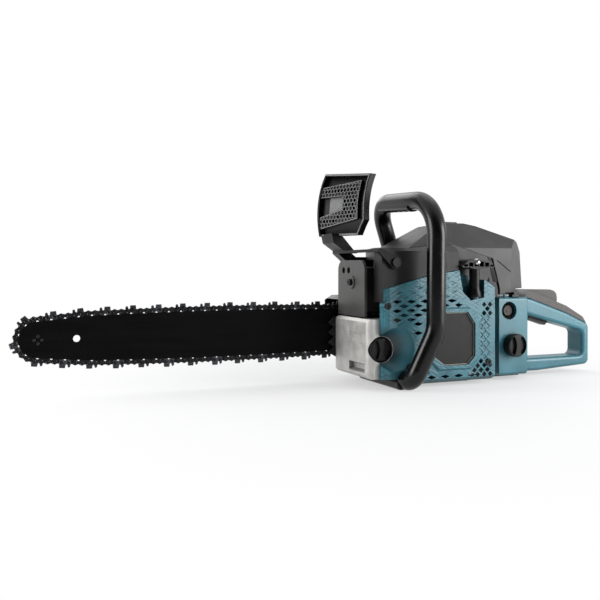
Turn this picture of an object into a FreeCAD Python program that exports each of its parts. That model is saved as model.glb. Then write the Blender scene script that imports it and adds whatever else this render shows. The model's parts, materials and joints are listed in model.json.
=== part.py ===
import FreeCAD, Part
import math
import os
import re
import Sketcher

# Petrol chainsaw with an eighteen inch bar, in millimetres.
# X runs forward to the bar's tip, Y to the operator's left, Z up. The origin lies on the
# floor, straight under the crankshaft's axis and in the cylinder's middle plane.

Vector = FreeCAD.Vector
Rotation = FreeCAD.Rotation
ACROSS = Vector(0, 1, 0)
AHEAD = Vector(1, 0, 0)

SIZES = {
    # Running and assembly clearances, and the overrun of every cut
    "overrun": 2, "shaft_gap": 0.05, "hole_gap": 0.15, "part_gap": 0.4, "free_gap": 1.0,
    "screw_radius": 2.4, "screw_head_radius": 4.6, "screw_head": 4,
    # Crankshaft, crankcase and chain oil tank
    "crank_z": 73, "case_rear_x": -60, "case_front_x": 56, "case_left_y": 38,
    "case_right_y": -40, "deck_z": 98, "oil_front_x": 114, "oil_left_y": 60.5, "oil_low_z": 14,
    "oil_high_z": 94, "case_wall": 5, "core_in": 8, "core_low_z": 33,
    "oil_wall": 3.5, "oil_round": 16, "oil_edge_round": 9, "oil_corner": 4,
    "chamber_radius": 34, "chamber_half": 18, "bearing_width": 11, "bearing_radius": 17.5,
    "seal_width": 6, "seal_radius": 14, "shaft_radius": 7.5, "web_radius": 29,
    "web_thick": 10, "web_in": 6.5, "crank_pin_radius": 6, "stroke": 32.5, "rod_long": 56,
    "rod_width": 10, "rod_end_radius": 11, "rod_eye_radius": 8, "rod_shank": 9,
    "shaft_right": 79, "shaft_left": 54,
    # Cylinder, piston and plug
    "cylinder_bore": 22.6, "piston_radius": 22.4, "piston_above": 18, "piston_below": 20,
    "piston_wall": 3, "pin_radius": 5, "pin_long": 36, "ring_thick": 1.5, "ring_deep": 2,
    "barrel_radius": 28, "flange_thick": 6, "fin_half_x": 39, "fin_half_y": 38,
    "fin_thick": 2.4, "fin_step": 8, "fin_low_z": 110, "head_z": 184, "roof_z": 167,
    "plug_seat_z": 176, "plug_thread_radius": 7, "plug_hex_radius": 9.5, "plug_hex": 8,
    "plug_tip": 14, "boot_radius": 9, "boot_high": 17, "port_radius": 11,
    # Flywheel, coil and recoil starter
    "flywheel_radius": 48, "flywheel_y": 42, "flywheel_disc": 6, "vane_high": 6, "vane_thick": 2.5,
    "vane_inner": 24, "vane_count": 14, "cup_radius": 21, "flywheel_nut_radius": 9,
    "pulley_radius": 28, "pulley_y": 56.6, "pulley_thick": 9, "pulley_groove": 4,
    "pulley_post_radius": 6, "spring_radius": 21, "spring_inner": 9, "spring_thick": 5,
    "coil_half_x": 20, "coil_low_z": 121.5, "coil_high_z": 148, "coil_thick": 15,
    # Starter housing
    "housing_rear_x": -82, "housing_front_x": 97, "housing_low_z": 6, "housing_high_z": 159.5,
    "housing_outer_y": 72, "housing_wall": 2.8, "housing_ridge_x": 88, "housing_ridge_in": 4,
    "housing_step_x": 53.5, "housing_bevel": 5,
    "label_rear_x": -46.5, "label_front_x": 20, "label_low_z": 29, "label_high_z": 101.5,
    "label_corner": 14, "label_border": 7, "label_raise": 2.8, "label_sink": 3.2,
    "label_thick": 1.6, "label_back": 5.6,
    "vent_long": 15.2, "vent_tall": 5.4, "vent_pitch": 21.6, "vent_row": 6.1,
    "vent_first_x": 76.8, "vent_first_z": 117.6, "vent_deep": 0.8, "small_vent_long": 8.5,
    "small_vent_tall": 8.5, "small_vent_pitch": 11,
    "scoop_x": 79, "scoop_z": 53.5, "scoop_radius": 29,
    # Recoil grip and its rope
    "grip_x": -51.5, "grip_y": 66, "grip_low_z": 122, "grip_high_z": 175, "grip_bar_z": 163.5,
    "grip_half_long": 28, "grip_half_deep": 10.5, "stem_radius": 7.2, "stem_flare": 9.5,
    "stem_flare_high": 12, "rope_radius": 1.9, "rope_low_z": 116, "knot_radius": 5.5,
    "grip_rib": 1.6, "grip_pocket": 7, "grip_cells": 6, "bush_radius": 6, "bush_high": 5,
    # Bar and chain: 0.325 inch pitch, 72 drive links, 1.5 mm gauge
    "bar_y": -48, "bar_thick": 4.2, "bar_tail_x": 33, "bar_rail_x": 48, "bar_rail_half": 28,
    "bar_belly_x": 250, "bar_belly_half": 31.5, "bar_knee_x": 460, "bar_knee_half": 28.25,
    "nose_x": 521, "nose_radius": 22.6, "groove_deep": 6, "groove_wide": 1.6,
    "tip_hole_x": 474.5, "tip_hole_radius": 4.5, "nose_hub_radius": 9, "nose_rivet_ring": 4.5,
    "nose_rivet_radius": 2.2, "nose_rivets": 4, "nose_teeth": 10, "bar_slot_half": 4.4, "bar_slot_end_x": 94,
    "chain_rise": 4.1, "drive_links": 72, "sprocket_pitch_radius": 19.03, "sprocket_teeth": 7,
    "link_thick": 1.5, "strap_thick": 1.1, "rivet_radius": 2.2, "rivet_proud": 0.6,
    "strap_half": 7.1, "strap_high": 3, "link_half": 6.6, "tang_deep": 8.5,
    "cutter_high": 6.9, "top_plate_wide": 3.6, "top_plate_thick": 1.2,
    # Clutch, oil pump, brake and their cover
    "drum_radius": 35, "drum_right": 70, "drum_left": 54, "drum_wall": 2.2,
    "sprocket_root": 9.9, "sprocket_tip": 14.4, "sprocket_half": 3.6, "needle_wall": 1.2,
    "shoe_gap": 1.3, "shoe_right": 67, "shoe_left": 58, "hub_radius": 12,
    "shoe_count": 3, "shoe_parting": 3,
    "clutch_nut_radius": 8, "band_thick": 1.2, "band_right": 68, "band_left": 59,
    "cover_right": 86, "cover_left": 40.4, "cover_wall": 3, "cover_behind": 17,
    "cover_front_x": 112, "cover_under": 16, "cover_over": 14, "cover_pad_low": 55,
    "cover_pad_high": 91, "cover_pad_rear_x": 40, "cover_pad_front_x": 100,
    "stud_radius": 4, "stud_rear_x": 57, "stud_front_x": 85, "stud_grip": 12,
    "nut_high": 8, "nut_radius": 7.5, "bumper_thick": 3, "bumper_reach": 12,
    "bumper_low_z": 34, "bumper_high_z": 92, "bumper_teeth": 4, "pump_thick": 3.4,
    "catcher_radius": 3.5,
    # Exhaust
    "gasket_thick": 7, "muffler_front_x": 106, "muffler_half_y": 34, "muffler_low_z": 100,
    "muffler_high_z": 164, "muffler_sheet": 1.6, "shield_thick": 4, "shield_left_y": 42,
    "shield_right_y": -40, "shield_low_z": 96, "shield_high_z": 173.5, "shield_round": 14,
    "shield_hole": 4.6, "shield_boss": 9, "shield_screw_y": 5, "shield_screw_z": 143,
    # Cylinder cover and filter cover
    "shroud_left_y": 70, "shroud_gap": 5.4, "shroud_front_x": 99, "shroud_split_x": -22,
    "shroud_oblique_x": 61, "shroud_oblique_y": 49, "shroud_wall": 2.6, "shroud_low_z": 117,
    "shroud_bevel": 9, "roof_front_z": 184.6, "roof_edge_x": 95, "seam_front_x": 45,
    "seam_front_z": 190, "seam_peak_x": -18, "seam_peak_z": 198.5, "seam_rear_x": -92,
    "seam_rear_z": 177, "seam_foot_x": -104, "seam_gap": 0.4, "seam_slot": 4,
    "hood_rear_x": -177, "hood_low_z": 132, "hood_skirt_z": 123.5, "hood_high_z": 228, "hood_left_y": 50,
    "hood_right_y": -44, "hood_wall": 2.6,
    # Intake, filter and choke
    "carb_rear_x": -88, "carb_front_x": -62, "carb_half_y": 17, "carb_low_z": 134,
    "carb_high_z": 160, "boot_pipe_radius": 13, "throat_radius": 10, "filter_rear_x": -140,
    "filter_front_x": -97, "filter_half_y": 27, "filter_low_z": 140,
    "filter_high_z": 186, "filter_wall": 4,
    "butterfly_radius": 9.6, "butterfly_thick": 1.4, "butterfly_shaft": 2.5,
    "choke_y": -26, "choke_z": 126, "choke_radius": 2.5, "choke_knob_radius": 5.5,
    "choke_knob_long": 9, "choke_front_x": -100, "choke_long": 76, "choke_boss": 6,
    "bracket_rear_x": -60, "bracket_inner_x": -44, "bracket_thick": 4.6, "bracket_foot_y": -24,
    "screw_front_x": 90.5, "screw_high_z": 112, "screw_low_x": 57, "screw_low_z": 30,
    "screw_rear_x": -71, "screw_boss": 7, "screw_sink": 3, "screw_long": 8.3,
    # Fuel tank with the rear handle
    "tank_front_x": -97, "tank_rear_x": -146, "tank_left_y": 62, "tank_right_y": -46,
    "tank_low_z": 8, "tank_high_z": 120, "tank_wall": 3.5, "tank_edge_round": 4,
    "foot_half_y": 22, "handle_front_x": -168, "handle_rear_x": -292, "handle_left_y": 35,
    "handle_right_y": -1, "handle_round": 5, "handle_corner": 9, "handle_strip": 11,
    "handle_low_z": 12, "handle_post": 13, "handle_bar": 14, "handle_deep": 27,
    "trigger_slot_long": 62,
    "trigger_slot_z": 68, "mount_radius": 10, "mount_y": 24, "mount_z": 58,
    "buffer_x": -115, "buffer_z": 101, "buffer_radius": 13, "buffer_deep": 16,
    "cap_radius": 16.7, "cap_high": 13, "cap_neck_radius": 14, "cap_neck_deep": 16,
    "cap_thread_gap": 0.5, "cap_ridge": 5, "cap_ridge_high": 4, "cap_knurls": 24,
    "seal_thick": 2.4, "fuel_cap_x": -120.5, "fuel_cap_z": 51.5, "oil_cap_x": 94.5, "oil_cap_z": 53.5,
    "oil_cap_sink": 12,
    # Controls in the rear handle
    "trigger_x": -176, "trigger_z": 103, "trigger_pin_radius": 2, "trigger_half_y": 6,
    "trigger_long": 45, "trigger_nose": 5, "trigger_deep": 28.5,
    "slot_half_y": 7.5, "lockout_x": -176, "lockout_z": 119, "lockout_rear_x": -238,
    "lockout_nose": 4, "lockout_drop": 11, "lockout_rise": 11,
    "stop_x": -128, "stop_y": 56.2, "stop_long": 12, "stop_wide": 8, "stop_high": 7,
    # Front handle
    "tube_radius": 10, "tube_wall": 2, "sleeve_radius": 12.7, "grip_wave": 2.2, "grip_waves": 6,
    "grip_left_y": 44, "grip_right_y": -40, "front_top_x": 34, "front_top_z": 261, "front_top_drop": 8,
    "front_right_y": -60, "front_left_y": 102, "front_end_x": -8, "front_end_z": 131,
    "front_knee_x": 36, "front_knee_z": 80, "front_foot_x": 63,
    "front_foot_y": 90, "front_foot_in_y": 72, "base_bar_wide": 28, "base_bar_high": 13.5,
    "base_bar_right_y": -38, "bend_tight": 34, "bend_wide": 54, "bend_knee": 52,
    "bend_foot": 17,
    # Hand guard and its hinge
    "guard_x": 80, "guard_z": 170, "guard_pin_radius": 4, "guard_left_x": 99.5,
    "guard_left_y": 22, "guard_right_x": 132, "guard_right_y": -66, "guard_low_z": 209,
    "guard_high_z": 303, "guard_wall": 2.6, "guard_deep": 10, "guard_rim": 3.2,
    "cell_size": 7, "cell_wall": 1.3, "cell_deep": 5, "guard_arm_z": 186, "guard_arm_high": 4,
    "guard_arm_deep": 7, "guard_lug_radius": 9, "guard_lug_thick": 4,
    "guard_bulge": 120, "guard_bulge_z": 240, "guard_corner_x": 16, "guard_corner_z": 21,
    "guard_slope": 8, "guard_neck_wide": 38, "guard_neck_thick": 10, "guard_pin_head": 2.4,
}

# Places that follow from the sizes above
WORKED_OUT = {
    "muffler_rear_x": "(fin_half_x + fin_step / 2 + gasket_thick)",
    "shoe_radius": "(drum_radius - drum_wall - shoe_gap)",
    "cover_rear_x": "(-drum_radius - cover_behind)",
    "cover_low_z": "(crank_z - drum_radius - cover_under)",
    "cover_high_z": "(crank_z + drum_radius + cover_over)",
    "shroud_right_y": "(-fin_half_y - shroud_gap - shroud_wall)",
}

doc = FreeCAD.newDocument("Chainsaw")
sheet = doc.addObject("Spreadsheet::Sheet", "Sizes")
for row, (alias, number) in enumerate(SIZES.items(), start=1):
    sheet.set(f"A{row}", alias)
    sheet.set(f"B{row}", str(number))
    sheet.setAlias(f"B{row}", alias)
doc.recompute()

SUBPARTS = []


def spelled(text):
    """The sum with each place that is worked out written as its own sum."""
    return re.sub(r"[a-z_]+", lambda word: WORKED_OUT.get(word.group(), word.group()), str(text))


def value(text):
    """The number that a sum of sheet names comes to."""
    return float(sheet.evalExpression(spelled(text)))


def bound(text):
    """The same sum, written for an object that reads the sheet."""
    return re.sub(r"[a-z_]+", lambda word: "Sizes." + word.group() if word.group() in SIZES
                  else word.group(), spelled(text))


class Numbers:
    """The sheet's values for shapes that are worked out in code."""

    def __getattr__(self, name):
        return value(name)


size = Numbers()


def keep(made, label):
    """Names a finished sub-part, whose shape is written at the end."""
    made.Label = label
    SUBPARTS.append(made)
    return made


def body(name):
    return doc.addObject("PartDesign::Body", name + "_body")


PLANES = {"XY": ("XY_Plane", 1), "XZ": ("XZ_Plane", -1), "YZ": ("YZ_Plane", 1)}


def sketch(part, plane, outline, place):
    """A closed outline or a circle on one of the body's own planes, moved along its normal."""
    role, sign = PLANES[plane]
    drawn = part.newObject("Sketcher::SketchObject", part.Name + "_sketch")
    base = [item for item in part.Origin.OriginFeatures if item.Role == role][0]
    drawn.AttachmentSupport = [(base, "")]
    drawn.MapMode = "FlatFace"
    drawn.setExpression("AttachmentOffset.Base.z", bound(f"{sign} * ({place})"))
    if isinstance(outline, tuple):
        across, up, radius = outline
        centre = Vector(value(across), value(up), 0)
        drawn.addGeometry(Part.Circle(centre, Vector(0, 0, 1), value(radius)), False)
        drawn.addConstraint([
            Sketcher.Constraint("DistanceX", -1, 1, 0, 3, centre.x),
            Sketcher.Constraint("DistanceY", -1, 1, 0, 3, centre.y),
            Sketcher.Constraint("Radius", 0, value(radius)),
        ])
        for index, text in enumerate(outline):
            drawn.setExpression(f"Constraints[{index}]", bound(text))
        return drawn
    corners = [Vector(value(across), value(up), 0) for across, up in outline]
    count = len(corners)
    drawn.addGeometry(
        [Part.LineSegment(corners[i], corners[(i + 1) % count]) for i in range(count)], False)
    rules = [Sketcher.Constraint("Coincident", i, 2, (i + 1) % count, 1) for i in range(count)]
    for i, corner in enumerate(corners):
        rules.append(Sketcher.Constraint("DistanceX", -1, 1, i, 1, corner.x))
        rules.append(Sketcher.Constraint("DistanceY", -1, 1, i, 1, corner.y))
    drawn.addConstraint(rules)
    for i, (across, up) in enumerate(outline):
        drawn.setExpression(f"Constraints[{count + 2 * i}]", bound(across))
        drawn.setExpression(f"Constraints[{count + 2 * i + 1}]", bound(up))
    return drawn


def pad(part, plane, outline, low, high):
    """Adds the outline's prism between two places along the plane's own axis."""
    feature = part.newObject("PartDesign::Pad", part.Name + "_pad")
    feature.Profile = sketch(part, plane, outline, high if plane == "XZ" else low)
    feature.setExpression("Length", bound(f"({high}) - ({low})"))
    return feature


def pocket(part, plane, outline, low, high):
    """Takes the outline's prism away between two places, and checks that it cut something."""
    doc.recompute()
    before = part.Shape.Volume
    feature = part.newObject("PartDesign::Pocket", part.Name + "_pocket")
    feature.Profile = sketch(part, plane, outline, low if plane == "XZ" else high)
    feature.setExpression("Length", bound(f"({high}) - ({low})"))
    doc.recompute()
    if part.Shape.Volume >= before:
        raise RuntimeError(f"{part.Name}: the pocket from {low} to {high} cut nothing")
    return feature


def box(part, low, high):
    """A pad between two corners."""
    outline = rectangle(low[0], low[1], high[0], high[1])
    return pad(part, "XY", outline, low[2], high[2])


def rectangle(left, low, right, high):
    return [(left, low), (right, low), (right, high), (left, high)]


def octagon(left, low, right, high, corner):
    """A rectangle with its four corners cut off at 45 degrees."""
    return [
        (f"{left} + {corner}", low), (f"{right} - {corner}", low),
        (right, f"{low} + {corner}"), (right, f"{high} - {corner}"),
        (f"{right} - {corner}", high), (f"{left} + {corner}", high),
        (left, f"{high} - {corner}"), (left, f"{low} + {corner}"),
    ]


def spread(shares, start_x, end_x, start_z, end_z):
    """Outline points from shares of a length and of a height."""
    return [(f"({start_x}) + {across} * (({end_x}) - ({start_x}))",
             f"({start_z}) + {up} * (({end_z}) - ({start_z}))") for across, up in shares]


def soften(part, radius, wanted, kind="Fillet"):
    """Rounds or bevels the edges that the test picks."""
    doc.recompute()
    names = [f"Edge{i}" for i, edge in enumerate(part.Shape.Edges, start=1) if wanted(edge)]
    if not names:
        raise RuntimeError(f"{part.Name}: no edge to soften")
    feature = part.newObject("PartDesign::" + kind, part.Name + "_soft")
    feature.Base = (part.Tip if part.Tip != feature else feature.BaseFeature, names)
    feature.setExpression("Radius" if kind == "Fillet" else "Size", bound(radius))
    return feature


def runs(edge, axis):
    """Whether a straight edge runs along an axis."""
    line = edge.Vertexes[-1].Point - edge.Vertexes[0].Point
    if edge.Curve.TypeId != "Part::GeomLine" or line.Length == 0:
        return False
    return abs(abs(line.normalize().dot(axis)) - 1) < 1e-6


def put(made, place, along="Z"):
    """Moves a piece by named sizes and turns its own Z axis to X or Y."""
    turn = {"Z": Rotation(), "Y": Rotation(Vector(1, 0, 0), -90), "X": Rotation(Vector(0, 1, 0), 90),
            "-Y": Rotation(Vector(1, 0, 0), 90)}
    made.Placement = FreeCAD.Placement(Vector(0, 0, 0), turn[along])
    for axis, text in zip("xyz", place):
        made.setExpression(f"Placement.Base.{axis}", bound(text))
    return made


def turned(name, profile, place=("0", "0", "0"), along="Z"):
    """A piece turned about its own Z axis from a profile of radius and height."""
    part = body(name)
    feature = part.newObject("PartDesign::Revolution", name + "_turn")
    feature.Profile = sketch(part, "XZ", profile, "0")
    feature.ReferenceAxis = (feature.Profile[0], ["V_Axis"])
    feature.Angle = 360
    return put(part, place, along)


def ring(name, inner, outer, low, high, place, along="Y"):
    """A plain ring between two radii."""
    profile = [(inner, low), (outer, low), (outer, high), (inner, high)]
    return turned(name, profile, place, along)


def cylinder(name, radius, low, high, place, along="Y"):
    made = doc.addObject("Part::Cylinder", name)
    made.setExpression("Radius", bound(radius))
    made.setExpression("Height", bound(f"({high}) - ({low})"))
    shift = {"X": 0, "Y": 1, "Z": 2}[along]
    moved = list(place)
    moved[shift] = f"{moved[shift]} + {low}"
    return put(made, moved, along)


def joined(name, pieces):
    made = doc.addObject("Part::MultiFuse", name)
    made.Shapes = pieces
    return made


def group(name, pieces):
    """Separate solids of one kind that share a name."""
    made = doc.addObject("Part::Compound", name)
    made.Links = pieces
    return keep(made, name)


def without(name, base, tools):
    """The base piece with the tools cut out of it."""
    made = doc.addObject("Part::Cut", name)
    made.Base = base
    made.Tool = tools[0] if len(tools) == 1 else joined(name + "_tools", tools)
    return made


def solid(name, shape):
    """A piece whose shape is worked out in code from the sheet's values."""
    made = doc.addObject("Part::Feature", name)
    made.Shape = shape
    return made


def numbers(outline):
    return [(value(across), value(up)) for across, up in outline]


def wire_on(plane, points, place):
    """A closed wire of straight edges on a plane parallel to one of the frame's."""
    spots = {
        "XY": [Vector(across, up, place) for across, up in points],
        "XZ": [Vector(across, place, up) for across, up in points],
        "YZ": [Vector(place, across, up) for across, up in points],
    }[plane]
    return Part.makePolygon(spots + [spots[0]])


def prism(plane, points, low, high, inset=0.0):
    """The solid of an outline between two places, drawn in by an inset."""
    wire = wire_on(plane, points, low)
    if inset:
        wire = wire.makeOffset2D(-inset, 2)
    normal = {"XY": Vector(0, 0, 1), "XZ": Vector(0, 1, 0), "YZ": Vector(1, 0, 0)}[plane]
    return Part.Face(wire).extrude(normal * (high - low))


def cross_screw(place, along, long):
    """A screw with a cross slot, its head's seat at a place and its shank going in."""
    turn = {"Y": Rotation(Vector(1, 0, 0), 90), "X": Rotation(Vector(0, 1, 0), -90)}[along]
    one = Part.makeCylinder(size.screw_head_radius, size.screw_head, Vector(0, 0, -size.screw_head))
    one = one.fuse(Part.makeCylinder(size.screw_radius, long))
    slot_long = size.screw_head_radius * 1.3
    slot_wide = size.screw_head_radius * 0.3
    for wide, tall in ((slot_long, slot_wide), (slot_wide, slot_long)):
        one = one.cut(Part.makeBox(wide, tall, size.screw_head,
                                   Vector(-wide / 2, -tall / 2, -size.screw_head * 1.5)))
    one = one.removeSplitter()
    one.Placement = FreeCAD.Placement(place, turn)
    return one


def crankcase_half(name, inner, outer, seal_sign):
    """One half of the die-cast crankcase, with its bearing seat, seal seat and shaft hole."""
    part = body(name)
    low_y, high_y = (inner, outer) if seal_sign > 0 else (outer, inner)
    pad(part, "XZ", rectangle("case_rear_x", "0", "case_front_x", "deck_z"), low_y, high_y)
    front_y = "oil_left_y" if seal_sign > 0 else inner
    rear_y = inner if seal_sign > 0 else outer
    pad(part, "XZ", octagon("case_front_x", "oil_low_z", "oil_front_x", "oil_high_z",
                            "oil_corner"), rear_y, front_y)
    return part


def bores_through(part, sign):
    """Crank chamber, bearing and seal seats and the shaft's hole, all on the crank's axis."""
    def ends(near, far):
        return (near, far) if sign > 0 else (f"-({far})", f"-({near})")

    bearing_end = "chamber_half + bearing_width"
    seal_end = f"{bearing_end} + seal_width"
    for radius, near, far in (
            ("chamber_radius", "0", "chamber_half"),
            ("bearing_radius", "chamber_half", bearing_end),
            ("seal_radius", bearing_end, seal_end),
            ("shaft_radius + free_gap", seal_end, "oil_left_y + overrun")):
        low, high = ends(near, far)
        pocket(part, "XZ", ("0", "crank_z", radius), low, high)
    bore = cylinder(part.Name + "_bore", "cylinder_bore", "crank_z", "deck_z + overrun",
                    ("0", "0", "0"), "Z")
    return bore


def crankcase():
    """Two halves that meet in the cylinder's middle plane, with the oil tank in front."""
    right = crankcase_half("crankcase_right", "0", "case_right_y", -1)
    left = crankcase_half("crankcase_left", "0", "case_left_y", 1)

    def left_front(edge):
        at = edge.CenterOfMass
        return (runs(edge, Vector(0, 0, 1)) and at.x > size.case_front_x + size.part_gap
                and at.y > size.oil_left_y - size.part_gap)

    def front_low(edge):
        at = edge.CenterOfMass
        return (runs(edge, ACROSS) and at.z < size.oil_low_z + size.oil_round
                and at.x > size.oil_front_x - size.oil_round)

    soften(left, "oil_edge_round", left_front)
    for part in (right, left):
        soften(part, "oil_edge_round / 3", front_low)
        pocket(part, "XZ", rectangle("front_foot_x - base_bar_wide / 2 - part_gap", "-overrun",
                                     "front_foot_x + base_bar_wide", "base_bar_high + part_gap"),
               "case_right_y - overrun", "case_left_y + overrun")
    hollow = ("case_front_x + oil_wall", "oil_low_z + oil_wall", "oil_front_x - 3 * oil_wall",
              "oil_high_z - oil_wall")
    pocket(left, "XZ", rectangle(*hollow), "0", "oil_left_y - oil_cap_sink - oil_wall")
    pocket(right, "XZ", rectangle(*hollow), "case_right_y + oil_wall", "0")
    pocket(left, "XZ", ("oil_cap_x", "oil_cap_z", "cap_radius + free_gap"),
           "oil_left_y - oil_cap_sink", "oil_left_y + overrun")
    pocket(left, "XZ", ("oil_cap_x", "oil_cap_z", "cap_neck_radius"),
           "oil_left_y - oil_cap_sink - cap_neck_deep", "oil_left_y")
    # The recess with a lip low on the front, where the guide for the chain oil is seen
    lip = [("oil_front_x + overrun", "oil_low_z + 2 * oil_wall"),
           ("oil_front_x + overrun", "oil_low_z + 6 * oil_wall"),
           ("oil_front_x - 2 * oil_wall", "oil_low_z + 5 * oil_wall"),
           ("oil_front_x - 2 * oil_wall", "oil_low_z + 3 * oil_wall")]
    pocket(left, "XZ", lip, "oil_wall", "oil_left_y - 3 * oil_wall")
    for x in ("stud_rear_x", "stud_front_x"):
        pocket(right, "XZ", (x, "crank_z", "stud_radius"), "case_right_y - overrun",
               "case_right_y + stud_grip")
    pad(right, "XZ", rectangle("cover_pad_rear_x", "cover_pad_low", "cover_pad_front_x",
                               "cover_pad_high"),
        "bar_y + bar_thick / 2", "case_right_y")
    for x in ("stud_rear_x", "stud_front_x"):
        pocket(right, "XZ", (x, "crank_z", "stud_radius"),
               "bar_y + bar_thick / 2 - overrun", "case_right_y + stud_grip")
    for part, near, far in ((left, "core_in", "case_left_y + overrun"),
                            (right, "case_right_y - overrun", "-core_in")):
        pocket(part, "XZ", rectangle("case_rear_x + case_wall", "case_wall",
                                     "front_foot_x - base_bar_wide", "core_low_z"), near, far)
        pocket(part, "XZ", rectangle("case_rear_x + case_wall", "core_low_z + case_wall",
                                     "-chamber_radius - case_wall", "deck_z - case_wall"),
               near, far)
    left_bore = bores_through(left, 1)
    right_bore = bores_through(right, -1)
    keep(without("crankcase_left", left, [left_bore]), "crankcase_left")
    keep(without("crankcase_right", right, [right_bore]), "crankcase_right")


def crank_train():
    """Crankshaft, rod, piston and their bearings, at top dead centre."""
    crank_pin_z = "crank_z + stroke / 2"
    pin_z = f"{crank_pin_z} + rod_long"
    centre = ("0", "0", "crank_z")
    shaft_left = cylinder("shaft_left", "shaft_radius", "web_in", "shaft_left", centre)
    shaft_right = cylinder("shaft_right", "shaft_radius", "-shaft_right", "-web_in", centre)
    webs = [cylinder("web_" + side, "web_radius", low, f"{low} + web_thick", centre)
            for side, low in (("left", "web_in"), ("right", "-web_in - web_thick"))]
    crank_pin = cylinder("crank_pin", "crank_pin_radius", "-web_in - web_thick / 2",
                         "web_in + web_thick / 2", ("0", "0", crank_pin_z))
    keep(joined("crankshaft", [shaft_left, shaft_right, crank_pin] + webs), "crankshaft")
    needles = ring("needle_ring", "shaft_radius", "shaft_radius + needle_wall",
                   "-drum_left - drum_wall", "bar_y + sprocket_half", centre)
    bearings = [needles]
    seals = [ring("gasket_ring", "port_radius", "port_radius + oil_wall",
                  "fin_half_x + fin_step / 2", "muffler_rear_x",
                  ("0", "0", "(fin_low_z + roof_z) / 2"), "X")]
    for index, side in enumerate(("left", "right")):
        low = ("chamber_half", "-chamber_half - bearing_width")[index]
        bearings.append(ring("bearing_" + side, "shaft_radius", "bearing_radius", low,
                             f"{low} + bearing_width", centre))
        seal_low = ("chamber_half + bearing_width",
                    "-chamber_half - bearing_width - seal_width")[index]
        seals.append(ring("seal_" + side, "shaft_radius", "seal_radius", seal_low,
                          f"{seal_low} + seal_width", centre))
    group("crank_bearings", bearings)
    group("seals_and_gasket", seals)
    group("shaft_nuts", [
        ring("flywheel_nut", "shaft_radius", "flywheel_nut_radius",
             "flywheel_y + flywheel_disc", "flywheel_y + flywheel_disc + vane_high", centre),
        ring("clutch_nut", "shaft_radius", "clutch_nut_radius", "-shaft_right", "-shoe_right",
             centre)])
    rod = body("connecting_rod")
    pad(rod, "XZ", ("0", crank_pin_z, "rod_end_radius"), "-rod_width / 2", "rod_width / 2")
    pad(rod, "XZ", rectangle("-rod_shank / 2", crank_pin_z, "rod_shank / 2", pin_z),
        "-rod_width / 4", "rod_width / 4")
    pad(rod, "XZ", ("0", pin_z, "rod_eye_radius"), "-rod_width / 2", "rod_width / 2")
    pocket(rod, "XZ", ("0", crank_pin_z, "crank_pin_radius + shaft_gap"), "-rod_width", "rod_width")
    pocket(rod, "XZ", ("0", pin_z, "pin_radius + shaft_gap"), "-rod_width", "rod_width")
    keep(rod, "connecting_rod")
    crown = f"{pin_z} + piston_above"
    piston = turned("piston", [
        ("0", crown), ("piston_radius", crown), ("piston_radius", f"{crown} - ring_deep"),
        ("piston_radius - ring_deep", f"{crown} - ring_deep"),
        ("piston_radius - ring_deep", f"{crown} - ring_deep - ring_thick"),
        ("piston_radius", f"{crown} - ring_deep - ring_thick"),
        ("piston_radius", f"{pin_z} - piston_below"),
        ("piston_radius - piston_wall", f"{pin_z} - piston_below"),
        ("piston_radius - piston_wall", f"{pin_z} + rod_eye_radius + free_gap"),
        ("0", f"{pin_z} + rod_eye_radius + free_gap"),
    ])
    eye = cylinder("piston_pin_hole", "pin_radius", "-piston_radius - overrun",
                   "piston_radius + overrun", ("0", "0", pin_z))
    bosses = cylinder("piston_bosses", "rod_eye_radius", "-pin_long / 2", "pin_long / 2",
                      ("0", "0", pin_z))
    gap = cylinder("piston_boss_gap", "rod_eye_radius + free_gap", "-rod_width / 2 - free_gap",
                   "rod_width / 2 + free_gap", ("0", "0", pin_z))
    with_bosses = joined("piston_with_bosses", [piston, without("boss_pair", bosses, [gap])])
    keep(without("piston", with_bosses, [eye]), "piston")
    keep(cylinder("piston_pin", "pin_radius", "-pin_long / 2", "pin_long / 2",
                  ("0", "0", pin_z)), "piston_pin")
    keep(ring("piston_ring", "piston_radius - ring_deep", "cylinder_bore",
              f"{crown} - ring_deep - ring_thick", f"{crown} - ring_deep", ("0", "0", "0"), "Z"),
         "piston_ring")


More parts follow.
